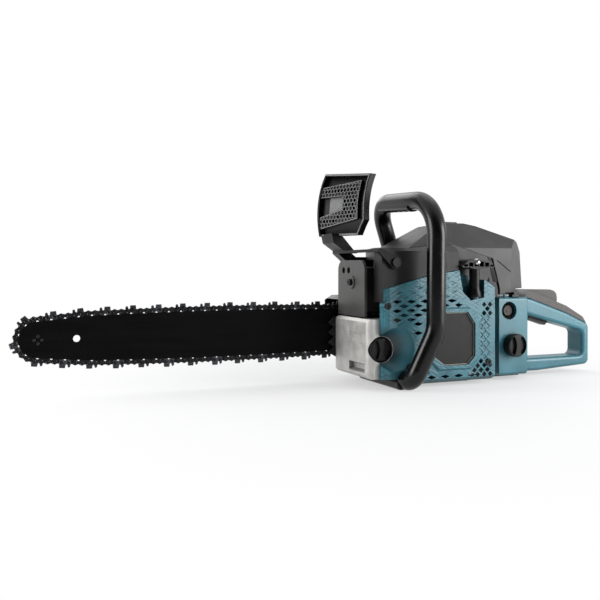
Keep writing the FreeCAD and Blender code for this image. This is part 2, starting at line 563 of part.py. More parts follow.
def cylinder_and_plug():
    """Finned cylinder with its plug, and the plug's rubber cap."""
    barrel = turned("cylinder", [
        ("cylinder_bore", "deck_z"), ("fin_half_x", "deck_z"),
        ("fin_half_x", "deck_z + flange_thick"), ("barrel_radius", "deck_z + flange_thick"),
        ("barrel_radius", "head_z"), ("0", "head_z"), ("0", "roof_z + fin_step / 2"),
        ("cylinder_bore / 2", "roof_z + fin_step / 4"), ("cylinder_bore", "roof_z"),
    ])
    fins = []
    count = int((size.head_z - size.fin_low_z) / size.fin_step) + 1
    for index in range(count):
        low = f"fin_low_z + {index} * fin_step"
        fin = body(f"fin_{index}")
        pad(fin, "XY", octagon("-fin_half_x", "-fin_half_y", "fin_half_x", "fin_half_y",
                               "fin_step"), low, f"{low} + fin_thick")
        bore = cylinder(f"fin_{index}_bore", "barrel_radius - free_gap", "0", "head_z",
                        ("0", "0", "0"), "Z")
        fins.append(without(f"fin_{index}_ring", fin, [bore]))
    port = cylinder("exhaust_stub", "port_radius + oil_wall", "0", "fin_half_x + fin_step / 2",
                    ("0", "0", "(fin_low_z + roof_z) / 2"), "X")
    intake = cylinder("intake_stub", "port_radius + oil_wall", "-fin_half_x - fin_step / 2", "0",
                      ("0", "0", "carb_low_z + throat_radius + overrun"), "X")
    whole = joined("cylinder_metal", [barrel, port, intake] + fins)
    holes = [
        cylinder("cylinder_hollow", "cylinder_bore", "crank_z", "roof_z", ("0", "0", "0"), "Z"),
        cylinder("exhaust_hole", "port_radius", "cylinder_bore / 2", "fin_half_x + fin_step",
                 ("0", "0", "(fin_low_z + roof_z) / 2"), "X"),
        cylinder("intake_hole", "port_radius", "-fin_half_x - fin_step", "-cylinder_bore / 2",
                 ("0", "0", "carb_low_z + throat_radius + overrun"), "X"),
        cylinder("plug_hole", "plug_thread_radius", "roof_z", "head_z + overrun",
                 ("0", "0", "0"), "Z"),
        cylinder("plug_seat", "plug_hex_radius + free_gap", "plug_seat_z", "head_z + overrun",
                 ("0", "0", "0"), "Z"),
    ]
    keep(without("cylinder", whole, holes), "cylinder")
    hex_top = "plug_seat_z + plug_hex"
    plug = turned("spark_plug", [
        ("0", "roof_z + fin_step / 2"), ("plug_thread_radius", "roof_z + fin_step / 2"),
        ("plug_thread_radius", "plug_seat_z"), ("plug_hex_radius", "plug_seat_z"),
        ("plug_hex_radius", hex_top), ("boot_radius / 2", hex_top),
        ("boot_radius / 2", f"{hex_top} + plug_tip"), ("0", f"{hex_top} + plug_tip"),
    ])
    keep(plug, "spark_plug")
    boot = turned("plug_boot", [
        ("boot_radius / 2", hex_top), ("boot_radius", hex_top),
        ("boot_radius", f"{hex_top} + boot_high - overrun"),
        ("boot_radius - overrun", f"{hex_top} + boot_high"), ("0", f"{hex_top} + boot_high"),
        ("0", f"{hex_top} + plug_tip"), ("boot_radius / 2", f"{hex_top} + plug_tip"),
    ])
    keep(boot, "plug_boot")


def flywheel_side():
    """Flywheel with its cooling vanes, coil, and the recoil starter's pulley and spring."""
    centre = ("0", "0", "crank_z")
    disc = ring("flywheel_disc", "shaft_radius", "flywheel_radius", "flywheel_y",
                "flywheel_y + flywheel_disc", centre)
    cup = ring("flywheel_cup", "cup_radius - oil_wall", "cup_radius",
               "flywheel_y + flywheel_disc", "flywheel_y + flywheel_disc + vane_high", centre)
    vanes = []
    count = int(size.vane_count)
    long = size.flywheel_radius - size.vane_inner - size.vane_thick
    for index in range(count):
        vane = Part.makeBox(long, size.vane_thick, size.vane_high,
                            Vector(size.vane_inner, -size.vane_thick / 2, 0))
        vane.rotate(Vector(0, 0, 0), Vector(0, 0, 1), 360 * index / count)
        vane.rotate(Vector(0, 0, 0), Vector(1, 0, 0), -90)
        vane.translate(Vector(0, size.flywheel_y + size.flywheel_disc, size.crank_z))
        vanes.append(vane)
    ring_of_vanes = solid("flywheel_vanes", Part.makeCompound(vanes))
    keep(joined("flywheel", [disc, cup, ring_of_vanes]), "flywheel")
    coil = body("ignition_coil")
    box(coil, ("-coil_half_x", "fin_half_y", "coil_low_z + coil_thick / 2"),
        ("coil_half_x", "fin_half_y + coil_thick", "coil_high_z"))
    for sign in ("-", ""):
        near = f"{sign}coil_half_x * 0.45"
        far = f"{sign}coil_half_x"
        left, right = (far, near) if sign else (near, far)
        box(coil, (left, "flywheel_y", "coil_low_z"),
            (right, "fin_half_y + coil_thick", "coil_low_z + coil_thick / 2"))
    keep(coil, "ignition_coil")
    top = "pulley_y + pulley_thick"
    pulley = turned("starter_pulley", [
        ("pulley_post_radius + shaft_gap", "pulley_y"), ("pulley_radius", "pulley_y"),
        ("pulley_radius", "pulley_y + overrun"),
        ("pulley_radius - pulley_groove", "pulley_y + overrun"),
        ("pulley_radius - pulley_groove", f"{top} - overrun"),
        ("pulley_radius", f"{top} - overrun"), ("pulley_radius", top),
        ("spring_radius + part_gap", top), ("spring_radius + part_gap", f"{top} - spring_thick"),
        ("pulley_post_radius + overrun", f"{top} - spring_thick"),
        ("pulley_post_radius + overrun", top), ("pulley_post_radius + shaft_gap", top),
    ], centre, "Y")
    keep(pulley, "starter_pulley")
    keep(ring("recoil_spring", "spring_inner", "spring_radius",
              f"{top} - spring_thick + part_gap", "housing_outer_y - label_back", centre),
         "recoil_spring")


HOUSING_SCREWS = [("screw_front_x", "screw_high_z"), ("screw_low_x", "screw_low_z"),
                  ("screw_rear_x", "screw_low_z")]
HOUSING_SHARES = [
    (0.73, 0), (0.73, 0.054), (1, 0.054), (1, 0.834), (0.631, 0.945), (0.335, 1), (0.302, 0.801),
    (0.229, 0.726), (0.104, 0.75), (0.104, 0.914), (0.003, 0.845), (0, 0.6), (0, 0.02), (0.02, 0),
]
NOTCH_CORNERS = slice(5, 10)


def rhombus(across, up, long, tall):
    """A vent's four corners about its middle."""
    return [(across - long / 2, up), (across, up - tall / 2),
            (across + long / 2, up), (across, up + tall / 2)]


def inside(point, outline):
    """Whether a point lies within a closed outline."""
    across, up = point
    crossed = False
    for index, (x1, z1) in enumerate(outline):
        x0, z0 = outline[index - 1]
        if (z0 > up) != (z1 > up) and across < (x1 - x0) * (up - z0) / (z1 - z0) + x0:
            crossed = not crossed
    return crossed


def clear_of_rims(vent, outline, label):
    """Whether a vent stays on the skin between the edges, the label's border and the scoop."""
    middle = (sum(x for x, z in vent) / 4, sum(z for x, z in vent) / 4)
    scoop = math.hypot(middle[0] - size.scoop_x, middle[1] - size.scoop_z)
    notch = size.grip_x - size.grip_half_long * 0.6 < middle[0] < size.label_rear_x + size.oil_wall
    return (all(inside(corner, outline) and not inside(corner, label) for corner in vent)
            and scoop > size.scoop_radius + size.vent_long * 0.55
            and not (notch and middle[1] > size.label_high_z))


def vents(outline):
    """Through vents and pressed vents of the starter housing's skin, as two sets of prisms."""
    drawn_in = wire_on("XZ", outline, 0).makeOffset2D(-size.housing_wall * 1.5, 2)
    edge = [(vertex.X, vertex.Z) for vertex in drawn_in.OrderedVertexes]
    label = numbers(octagon("label_rear_x - label_border", "label_low_z - label_border",
                            "label_front_x + label_border", "label_high_z + label_border",
                            "label_corner"))
    through, pressed = [], []
    rows = int(size.housing_high_z / size.vent_row)
    columns = int((size.housing_front_x - size.housing_rear_x) / size.vent_pitch) + 1
    strip_x = size.label_rear_x - size.label_border
    outer = size.housing_outer_y
    rows_above = int((size.housing_high_z - size.vent_first_z) / size.vent_row)
    for row in range(-rows_above, rows):
        up = size.vent_first_z - row * size.vent_row
        for column in range(columns):
            across = size.vent_first_x - (column + (row % 2) / 2) * size.vent_pitch
            vent = rhombus(across, up, size.vent_long, size.vent_tall)
            if across < strip_x + size.vent_long / 2 or not clear_of_rims(vent, edge, label):
                continue
            open_row = up < size.vent_first_z + size.vent_row / 2
            kept = through if open_row else pressed
            depth = size.housing_wall * 2 if open_row else size.vent_deep
            kept.append(prism("XZ", vent, outer - depth, outer + size.overrun))
    rear_columns = int((strip_x - size.housing_rear_x) / size.small_vent_pitch) + 1
    for row in range(rows):
        up = size.vent_first_z - row * size.vent_row
        for column in range(rear_columns):
            across = strip_x - (column + (row % 2) / 2 + 0.4) * size.small_vent_pitch
            vent = rhombus(across, up, size.small_vent_long, size.small_vent_tall)
            if not clear_of_rims(vent, edge, label):
                continue
            upper = up > size.label_high_z - size.vent_row
            lower = up < size.label_low_z + size.vent_row
            depth = size.housing_wall * 2 if upper or lower else size.vent_deep
            kept = through if upper or lower else pressed
            kept.append(prism("XZ", vent, outer - depth, outer + size.overrun))
    return through, pressed


def starter_housing():
    """The vented cover on the left, with its label recess, oil cap scoop and recoil notch."""
    outline = housing_outline()
    part = body("starter_housing")
    pad(part, "XZ", outline, "case_left_y + part_gap", "housing_outer_y")
    pocket(part, "XY", rectangle("housing_step_x", "case_left_y - overrun",
                                 "housing_front_x + overrun", "oil_left_y + part_gap"),
           "-overrun", "housing_high_z + overrun")
    ridge = [("housing_ridge_x", "housing_outer_y + overrun"),
             ("housing_ridge_x", "housing_outer_y"),
             ("housing_front_x", "housing_outer_y - housing_ridge_in"),
             ("housing_front_x + overrun", "housing_outer_y - housing_ridge_in"),
             ("housing_front_x + overrun", "housing_outer_y + overrun")]
    pocket(part, "XY", ridge, "-overrun", "housing_high_z + overrun")
    low_bevel = [("housing_outer_y - housing_bevel", "-overrun"),
                 ("housing_outer_y + overrun", "-overrun"),
                 ("housing_outer_y + overrun", "housing_low_z + housing_bevel + overrun"),
                 ("housing_outer_y", "housing_low_z + housing_bevel"),
                 ("housing_outer_y - housing_bevel", "housing_low_z")]
    pocket(part, "YZ", low_bevel, "housing_rear_x - overrun", "housing_front_x + overrun")
    points = numbers(outline)
    rear = [(min(x, size.housing_step_x), z) for x, z in points]
    skin_y = size.housing_outer_y - size.housing_wall
    deep = prism("XZ", rear, size.case_left_y - size.overrun, skin_y, size.housing_wall)
    low = size.scoop_z + size.scoop_radius + size.housing_wall
    front = numbers([("housing_step_x - overrun", "0"), ("housing_front_x - housing_wall", "0"),
                     ("housing_front_x - housing_wall", "housing_high_z * 0.8"),
                     ("housing_step_x - overrun", "housing_high_z * 0.86")])
    front = [(x, max(z, low)) for x, z in front]
    shallow = prism("XZ", front, size.case_left_y - size.overrun, skin_y)
    hollow = solid("housing_hollow", deep.fuse(shallow))
    shell = without("housing_shell", part, [hollow])
    frame = body("label_frame")
    border = octagon("label_rear_x - label_border", "label_low_z - label_border",
                     "label_front_x + label_border", "label_high_z + label_border",
                     "label_corner")
    pad(frame, "XZ", border, "housing_outer_y - label_back", "housing_outer_y + label_raise")

    def outer_rim(edge):
        return edge.CenterOfMass.y > size.housing_outer_y + size.label_raise / 2 \
            and abs(edge.tangentAt(edge.FirstParameter).y) < 0.5

    soften(frame, "label_raise * 0.9", outer_rim, "Chamfer")
    recess = octagon("label_rear_x", "label_low_z", "label_front_x", "label_high_z",
                     "label_corner - label_border / 3")
    seat = "housing_outer_y + label_raise - label_sink - label_thick"
    sunk = body("label_recess")
    pad(sunk, "XZ", recess, seat, "housing_outer_y + label_raise + overrun")
    bosses = [cylinder(f"screw_boss_{index}", "screw_boss", "oil_left_y + part_gap",
                       "housing_outer_y - part_gap", (across, "0", up))
              for index, (across, up) in enumerate(HOUSING_SCREWS)]
    holes = [cylinder(f"screw_hole_{index}", radius, low, "housing_outer_y + overrun",
                      (across, "0", up))
             for index, (across, up) in enumerate(HOUSING_SCREWS)
             for radius, low in (("screw_radius", "case_left_y"),
                                 ("screw_head_radius + hole_gap",
                                  "housing_outer_y - screw_sink"))]
    post = ring("pulley_post", "screw_radius", "pulley_post_radius", "pulley_y - overrun",
                "housing_outer_y - label_back", ("0", "0", "crank_z"))
    bush = cylinder("rope_bush_boss", "bush_radius", "rope_low_z - bush_high",
                    "grip_low_z - part_gap", ("grip_x", "grip_y", "0"), "Z")
    rope_way = cylinder("rope_way", "rope_radius + part_gap", "rope_low_z - 2 * bush_high",
                        "grip_low_z + overrun", ("grip_x", "grip_y", "0"), "Z")
    notch_y = size.hood_left_y + size.free_gap
    notch = solid("notch_wall", prism("XZ", points[NOTCH_CORNERS], notch_y,
                                      notch_y + size.housing_wall, -size.part_gap))
    whole = joined("housing_whole", [shell, frame, post, bush, notch] + bosses)
    rims = [Part.Wire(Part.Circle(Vector(value(across), value(deep), value(up)), ACROSS,
                                  value(radius)).toShape())
            for across, deep, up, radius in (
                ("scoop_x", "housing_outer_y + hole_gap", "scoop_z", "scoop_radius"),
                ("oil_cap_x", "oil_left_y", "oil_cap_z", "cap_radius + free_gap"))]
    bowl = Part.makeLoft(rims, True, True)
    mouth = body("scoop_mouth")
    pad(mouth, "XZ", rectangle("oil_cap_x", "oil_cap_z - cap_radius - free_gap",
                               "housing_front_x + overrun",
                               "oil_cap_z + cap_radius + free_gap"),
        "oil_left_y - overrun", "housing_outer_y + overrun")
    through, pressed = vents(points)
    tools = holes + [sunk, rope_way, solid("scoop_bowl", bowl), mouth,
                     solid("vents_through", Part.makeCompound(through)),
                     solid("vents_pressed", Part.makeCompound(pressed))]
    keep(without("starter_housing", whole, tools), "starter_housing")
    seat_y = size.housing_outer_y - size.screw_sink
    fixings = [cross_screw(Vector(value(across), seat_y, value(up)), "Y", size.screw_long)
               for across, up in HOUSING_SCREWS]
    fixings.append(cross_screw(Vector(
        size.muffler_front_x + size.shield_thick * 1.5, size.shield_screw_y,
        size.shield_screw_z), "X", size.shield_thick * 1.5))
    keep(solid("cover_screws", Part.makeCompound(fixings)), "cover_screws")
    label = body("label_plate")
    inner = ["label_rear_x + part_gap / 2", "label_low_z + part_gap / 2",
             "label_front_x - part_gap / 2", "label_high_z - part_gap / 2"]
    pad(label, "XZ", octagon(*inner, "label_corner - label_border / 3"), seat,
        f"{seat} + label_thick")
    keep(label, "label_plate")


def recoil_grip():
    """The T-shaped pull grip, hollow and ribbed on its left face, with its knotted rope."""
    part = body("starter_grip")
    half = "grip_half_long"
    pad(part, "XZ", [
        (f"grip_x - {half}", "grip_bar_z"), (f"grip_x - {half} * 0.55", "grip_bar_z"),
        (f"grip_x - {half} * 0.3", "grip_bar_z - overrun"),
        (f"grip_x + {half} * 0.3", "grip_bar_z - overrun"),
        (f"grip_x + {half} * 0.55", "grip_bar_z"), (f"grip_x + {half}", "grip_bar_z"),
        (f"grip_x + {half}", "grip_bar_z + overrun"),
        (f"grip_x + {half} * 0.6", "grip_high_z - overrun"), ("grip_x", "grip_high_z"),
        (f"grip_x - {half} * 0.6", "grip_high_z - overrun"),
        (f"grip_x - {half}", "grip_bar_z + overrun"),
    ], "grip_y - grip_half_deep", "grip_y + grip_half_deep")
    floor = "grip_y + grip_half_deep - grip_pocket"
    count = int(size.grip_cells)
    cell = f"(2 * {half} - grip_rib * 2) / grip_cells"
    for index in range(count):
        left = f"grip_x - {half} + grip_rib * 1.5 + {index} * {cell}"
        right = f"{left} + {cell} - grip_rib"
        middle = abs(index - (count - 1) / 2) / (count / 2)
        top = f"grip_high_z - grip_rib - {2 + 6 * middle ** 2:.2f} / 8 * grip_pocket"
        pocket(part, "XZ", rectangle(left, "grip_bar_z + grip_rib * 0.7", right, top), floor,
               "grip_y + grip_half_deep + overrun")
    stem = turned("grip_stem", [
        ("0", "grip_low_z"), ("stem_flare", "grip_low_z"),
        ("stem_flare", "grip_low_z + stem_flare_high / 3"),
        ("stem_radius", "grip_low_z + stem_flare_high"), ("stem_radius", "grip_bar_z + grip_rib / 2"),
        ("0", "grip_bar_z + grip_rib / 2"),
    ], ("grip_x", "grip_y", "0"))
    bore = cylinder("grip_bore", "rope_radius + part_gap", "grip_low_z - overrun",
                    "grip_high_z - 2 * grip_rib", ("grip_x", "grip_y", "0"), "Z")
    cup = doc.addObject("Part::Sphere", "knot_cup")
    cup.setExpression("Radius", bound("knot_radius + part_gap"))
    put(cup, ("grip_x", "grip_y + grip_half_deep - knot_radius",
              "grip_bar_z + knot_radius + grip_rib"))
    whole = joined("grip_whole", [part, stem])
    keep(without("starter_grip", whole, [bore, cup]), "starter_grip")
    knot = doc.addObject("Part::Sphere", "rope_knot")
    knot.setExpression("Radius", bound("knot_radius"))
    put(knot, ("grip_x", "grip_y + grip_half_deep - knot_radius",
               "grip_bar_z + knot_radius + grip_rib"))
    keep(knot, "rope_knot")
    keep(cylinder("starter_rope", "rope_radius", "rope_low_z", "grip_bar_z - part_gap",
                  ("grip_x", "grip_y", "0"), "Z"), "starter_rope")


def touch(point, centre, radius, side):
    """Where a line from a point touches a circle, on one side of it."""
    reach = point - centre
    lean = math.acos(radius / reach.Length)
    angle = math.atan2(reach.z, reach.x) + side * lean
    return centre + Vector(math.cos(angle), 0, math.sin(angle)) * radius


def rail_points(rise):
    """Upper rail's points at a height above the rail, from the tail to the nose's tip."""
    axis_z = size.crank_z
    nose = Vector(size.nose_x, 0, axis_z)
    radius = size.nose_radius + rise
    start = Vector(size.bar_rail_x, 0, axis_z + size.bar_rail_half + rise)
    belly = Vector(size.bar_belly_x, 0, axis_z + size.bar_belly_half + rise)
    knee = Vector(size.bar_knee_x, 0, axis_z + size.bar_knee_half + rise)
    return start, belly, knee, touch(knee, nose, radius, -1), nose + Vector(radius, 0, 0)


def below(point):
    """The same point under the bar's centre line."""
    return Vector(point.x, point.y, 2 * size.crank_z - point.z)


def rail_edges(rise):
    """The rail's edges from the upper tail round the nose to the lower tail."""
    start, belly, knee, shoulder, tip = rail_points(rise)
    return [
        Part.Arc(start, belly, knee).toShape(), Part.LineSegment(knee, shoulder).toShape(),
        Part.Arc(shoulder, tip, below(shoulder)).toShape(),
        Part.LineSegment(below(shoulder), below(knee)).toShape(),
        Part.Arc(below(knee), below(belly), below(start)).toShape(),
    ]


def bar_layer(rise, low, high):
    """One layer of the bar between two places across it."""
    start = rail_points(rise)[0]
    tail = Vector(size.bar_tail_x - rise, 0, start.z - size.bar_rail_half / 2)
    edges = rail_edges(rise)
    ends = [below(start), below(tail), tail, start]
    edges += [Part.LineSegment(a, b).toShape() for a, b in zip(ends, ends[1:])]
    face = Part.Face(Part.Wire(edges))
    face.translate(Vector(0, low, 0))
    return face.extrude(ACROSS * (high - low))


def bar_cut(across, up, radius):
    return Part.makeCylinder(radius, size.bar_thick + 2 * size.overrun, Vector(
        across, size.bar_y - size.bar_thick / 2 - size.overrun, up), ACROSS)


def guide_bar():
    """A laminated bar: two side plates and a core drawn in by the groove's depth."""
    right, left = size.bar_y - size.bar_thick / 2, size.bar_y + size.bar_thick / 2
    groove = size.groove_wide / 2
    nose_hollow = Part.makeCylinder(size.nose_radius, size.groove_wide, Vector(
        size.nose_x, size.bar_y - groove, size.crank_z), ACROSS)
    hub = Part.makeCylinder(size.nose_hub_radius, size.groove_wide, Vector(
        size.nose_x, size.bar_y - groove, size.crank_z), ACROSS)
    core = bar_layer(-size.groove_deep, size.bar_y - groove, size.bar_y + groove)
    core = core.cut(nose_hollow).fuse(hub)
    bar = bar_layer(0, right, size.bar_y - groove).fuse(
        [core, bar_layer(0, size.bar_y + groove, left)])
    slot = Part.makeBox(size.bar_slot_end_x - size.bar_tail_x + size.overrun,
                        size.bar_thick + 2 * size.overrun, 2 * size.bar_slot_half, Vector(
                            size.bar_tail_x - size.overrun, right - size.overrun,
                            size.crank_z - size.bar_slot_half))
    cuts = [slot, bar_cut(size.bar_slot_end_x, size.crank_z, size.bar_slot_half),
            bar_cut(size.tip_hole_x, size.crank_z, size.tip_hole_radius)]
    rivets = []
    for turn in range(int(size.nose_rivets)):
        angle = 2 * math.pi * turn / size.nose_rivets
        spot = Vector(size.nose_x + size.nose_rivet_ring * math.cos(angle),
                      right - size.rivet_proud,
                      size.crank_z + size.nose_rivet_ring * math.sin(angle))
        rivets.append(Part.makeCylinder(size.nose_rivet_radius,
                                        size.bar_thick + 2 * size.rivet_proud, spot, ACROSS))
    bar = bar.fuse(rivets)
    keep(solid("guide_bar", bar.cut(cuts).removeSplitter()), "guide_bar")
    star = star_wheel(int(size.nose_teeth), size.nose_radius - size.tang_deep / 2 - size.part_gap,
                      size.nose_radius - size.part_gap, size.bar_y - size.link_thick / 2,
                      size.link_thick, size.nose_x)
    bore = Part.makeCylinder(size.nose_hub_radius + size.shaft_gap, size.bar_thick, Vector(
        size.nose_x, right, size.crank_z), ACROSS)
    keep(solid("nose_sprocket", star.cut(bore)), "nose_sprocket")


TOOTH_SHARES = [(-0.5, 0), (-0.22, 0), (-0.08, 1), (0.08, 1), (0.22, 0)]
TOOTH_TURN_SHARE = 0.45


def star_wheel(teeth, root, tip, low, thick, centre_x):
    """A wheel with pointed teeth, turned so that the chain's tangs lie between them."""
    points = []
    for index in range(teeth):
        for along, rise in TOOTH_SHARES:
            radius = root + rise * (tip - root)
            angle = math.pi + 2 * math.pi * (index + along + TOOTH_TURN_SHARE) / teeth
            points.append((centre_x + radius * math.cos(angle),
                           size.crank_z + radius * math.sin(angle)))
    return prism("XZ", points, low, low + thick)


STRAP_SHARES = [(-0.93, -1.3), (-0.23, -1.3), (-0.13, -0.85), (0.13, -0.85), (0.23, -1.3),
                (0.93, -1.3), (1, 0), (0.84, 0.82), (0.58, 1.08), (0.28, 0.74), (0, 0.5),
                (-0.28, 0.74), (-0.58, 1.08), (-0.84, 0.82), (-1, 0)]
CUTTER_SHARES = [(-0.93, -1.3), (-0.23, -1.3), (-0.13, -0.85), (0.13, -0.85), (0.23, -1.3),
                 (0.93, -1.3), (1, 0), (0.97, 1.6), (0.8, 2.03), (0.56, 1.97), (0.44, 0.9),
                 (0.2, 0.75), (0.08, 2.3), (-0.93, 2.05), (-1, 0)]
DRIVE_SHARES = [(-0.94, -1.1), (-0.55, -1.35), (-0.2, -2.83), (0.42, -2.75), (0.62, -1.35),
                (0.94, -1.1), (1, 0), (0.8, 0.95), (0.3, 0.8), (0, 0.55), (-0.3, 0.8),
                (-0.8, 0.95), (-1, 0)]


def link_plate(shares, half, high, low, thick, holes):
    """A chain plate lying along X with its rivet line at Z zero and its two rivet holes."""
    plate = prism("XZ", [(a * half, b * high) for a, b in shares], low, low + thick)
    return plate.cut([Part.makeCylinder(size.rivet_radius + size.hole_gap, thick, Vector(
        across, low, 0), ACROSS) for across in holes])


def chain():
    """The saw chain: drive links, tie straps, cutters of both hands, and rivets."""
    centre = Vector(0, 0, size.crank_z)
    edges = rail_edges(size.chain_rise)
    start = rail_points(size.chain_rise)[0]
    leave = touch(start, centre, size.sprocket_pitch_radius, 1)
    rearmost = centre - Vector(size.sprocket_pitch_radius, 0, 0)
    upper = Part.Arc(centre - Vector(size.sprocket_pitch_radius, 0, 0), centre + Vector(
        math.cos(0.75 * math.pi), 0, math.sin(0.75 * math.pi)) * size.sprocket_pitch_radius, leave)
    lower = Part.Arc(below(leave), centre + Vector(
        math.cos(1.25 * math.pi), 0, math.sin(1.25 * math.pi)) * size.sprocket_pitch_radius,
        rearmost)
    loop = Part.Wire([upper.toShape(), Part.LineSegment(leave, start).toShape()] + edges
                     + [Part.LineSegment(below(start), below(leave)).toShape(), lower.toShape()])
    count = int(2 * size.drive_links)
    step = loop.Length / count
    fine = 4
    spots = loop.discretize(Number=count * fine + 1)[:-1]
    half_step = fine // 2
    joints = [spots[(index * fine - half_step) % len(spots)] for index in range(count)]
    print(f"chain loop {loop.Length:.1f} mm, rivet spacing {step:.3f} mm")
    holes = (-step / 2, step / 2)
    mid = size.link_thick / 2
    thick = size.strap_thick
    high = size.strap_high
    drive = link_plate(DRIVE_SHARES, size.link_half, high, -mid, size.link_thick, holes)
    straps = [link_plate(STRAP_SHARES, size.strap_half, high, low, thick, holes)
              for low in (mid, -mid - thick)]
    cutters = []
    for sign in (1, -1):
        low = mid if sign > 0 else -mid - thick
        side = link_plate(CUTTER_SHARES, size.strap_half, high, low, thick, holes)
        top = Part.makeBox(size.strap_half * 0.95, size.top_plate_wide, size.top_plate_thick,
                           Vector(-size.strap_half * 0.9, 0 if sign > 0 else -size.top_plate_wide,
                                  size.cutter_high - size.top_plate_thick))
        cutters.append(side.fuse(top))
    long = size.link_thick + 2 * thick + 2 * size.rivet_proud
    rivet = Part.makeCylinder(size.rivet_radius, long, Vector(0, -long / 2, 0), ACROSS)
    groups = {"chain_drive_links": [], "chain_tie_straps": [], "chain_cutters": [],
              "chain_rivets": []}
    for index, here in enumerate(joints):
        there = joints[(index + 1) % count]
        slope = there - here
        lean = Rotation(ACROSS, math.degrees(math.atan2(-slope.z, slope.x)))
        middle = (here + there) / 2 + ACROSS * size.bar_y

        def place(shape, name, spot):
            copy = shape.copy()
            copy.Placement = FreeCAD.Placement(spot, lean)
            groups[name].append(copy)

        place(rivet, "chain_rivets", here + ACROSS * size.bar_y)
        if index % 2 == 0:
            place(drive, "chain_drive_links", middle)
        elif index % 4 == 1:
            hand = (index // 4) % 2
            place(cutters[hand], "chain_cutters", middle)
            place(straps[1 - hand], "chain_tie_straps", middle)
        else:
            for strap in straps:
                place(strap, "chain_tie_straps", middle)
    for name, shapes in groups.items():
        keep(solid(name, Part.makeCompound(shapes)), name)


def clutch():
    """Clutch drum with its spur sprocket, the shoes' hub, and the brake band round the drum."""
    centre = ("0", "0", "crank_z")
    bore = "shaft_radius + needle_wall + shaft_gap"
    drum = turned("drum_cup", [
        ("0", "-drum_left - drum_wall"), ("drum_radius - drum_wall", "-drum_left - drum_wall"),
        ("drum_radius - drum_wall", "-drum_right"), ("drum_radius", "-drum_right"),
        ("drum_radius", "-drum_left"), ("0", "-drum_left"),
    ], centre, "Y")
    spur = solid("drum_spur", star_wheel(int(size.sprocket_teeth), size.sprocket_root,
                                         size.sprocket_tip, size.bar_y - size.sprocket_half,
                                         2 * size.sprocket_half, 0))
    neck = cylinder("drum_neck", "sprocket_root - part_gap", "-drum_left - drum_wall / 2",
                    "bar_y + sprocket_half", centre)
    hole = cylinder("drum_hole", bore, "-drum_right - overrun", "case_right_y", centre)
    keep(without("clutch_drum", joined("drum_whole", [drum, spur, neck]), [hole]),
         "clutch_drum")
    shoes = ring("shoe_ring", "shaft_radius", "shoe_radius", "-shoe_right", "-shoe_left", centre)
    gaps = []
    count = int(size.shoe_count)
    for index in range(count):
        gap = Part.makeBox(size.shoe_radius, size.shoe_right, size.shoe_parting, Vector(
            size.hub_radius, -size.shoe_right - size.overrun, -size.shoe_parting / 2))
        gap.rotate(Vector(0, 0, 0), ACROSS, 90 + 360 * index / count)
        gap.translate(Vector(0, 0, size.crank_z))
        gaps.append(gap)
    parting = solid("shoe_gaps", Part.makeCompound(gaps))
    keep(without("clutch_shoes", shoes, [parting]), "clutch_shoes")
    band = ring("band_ring", "drum_radius + part_gap", "drum_radius + part_gap + band_thick",
                "-band_right", "-band_left", centre)
    gap = body("band_gap")
    box(gap, ("drum_radius / 2", "-band_right - overrun", "crank_z - shaft_radius"),
        ("drum_radius + oil_wall", "-band_left + overrun", "crank_z"))
    keep(without("brake_band", band, [gap]), "brake_band")
    pump = body("oil_pump")
    box(pump, ("case_rear_x + 7 * oil_wall", "case_right_y - pump_thick",
               "oil_low_z + 5 * oil_wall"),
        ("-shaft_radius - 2 * oil_wall", "case_right_y", "crank_z - 2 * shaft_radius"))
    keep(pump, "oil_pump")


COVER_SHARES = [(0.04, 0.08), (0.1, 0), (0.82, 0), (0.97, 0.22), (1, 0.4), (1, 0.93),
                (0.93, 1), (0.16, 1), (0, 0.8)]


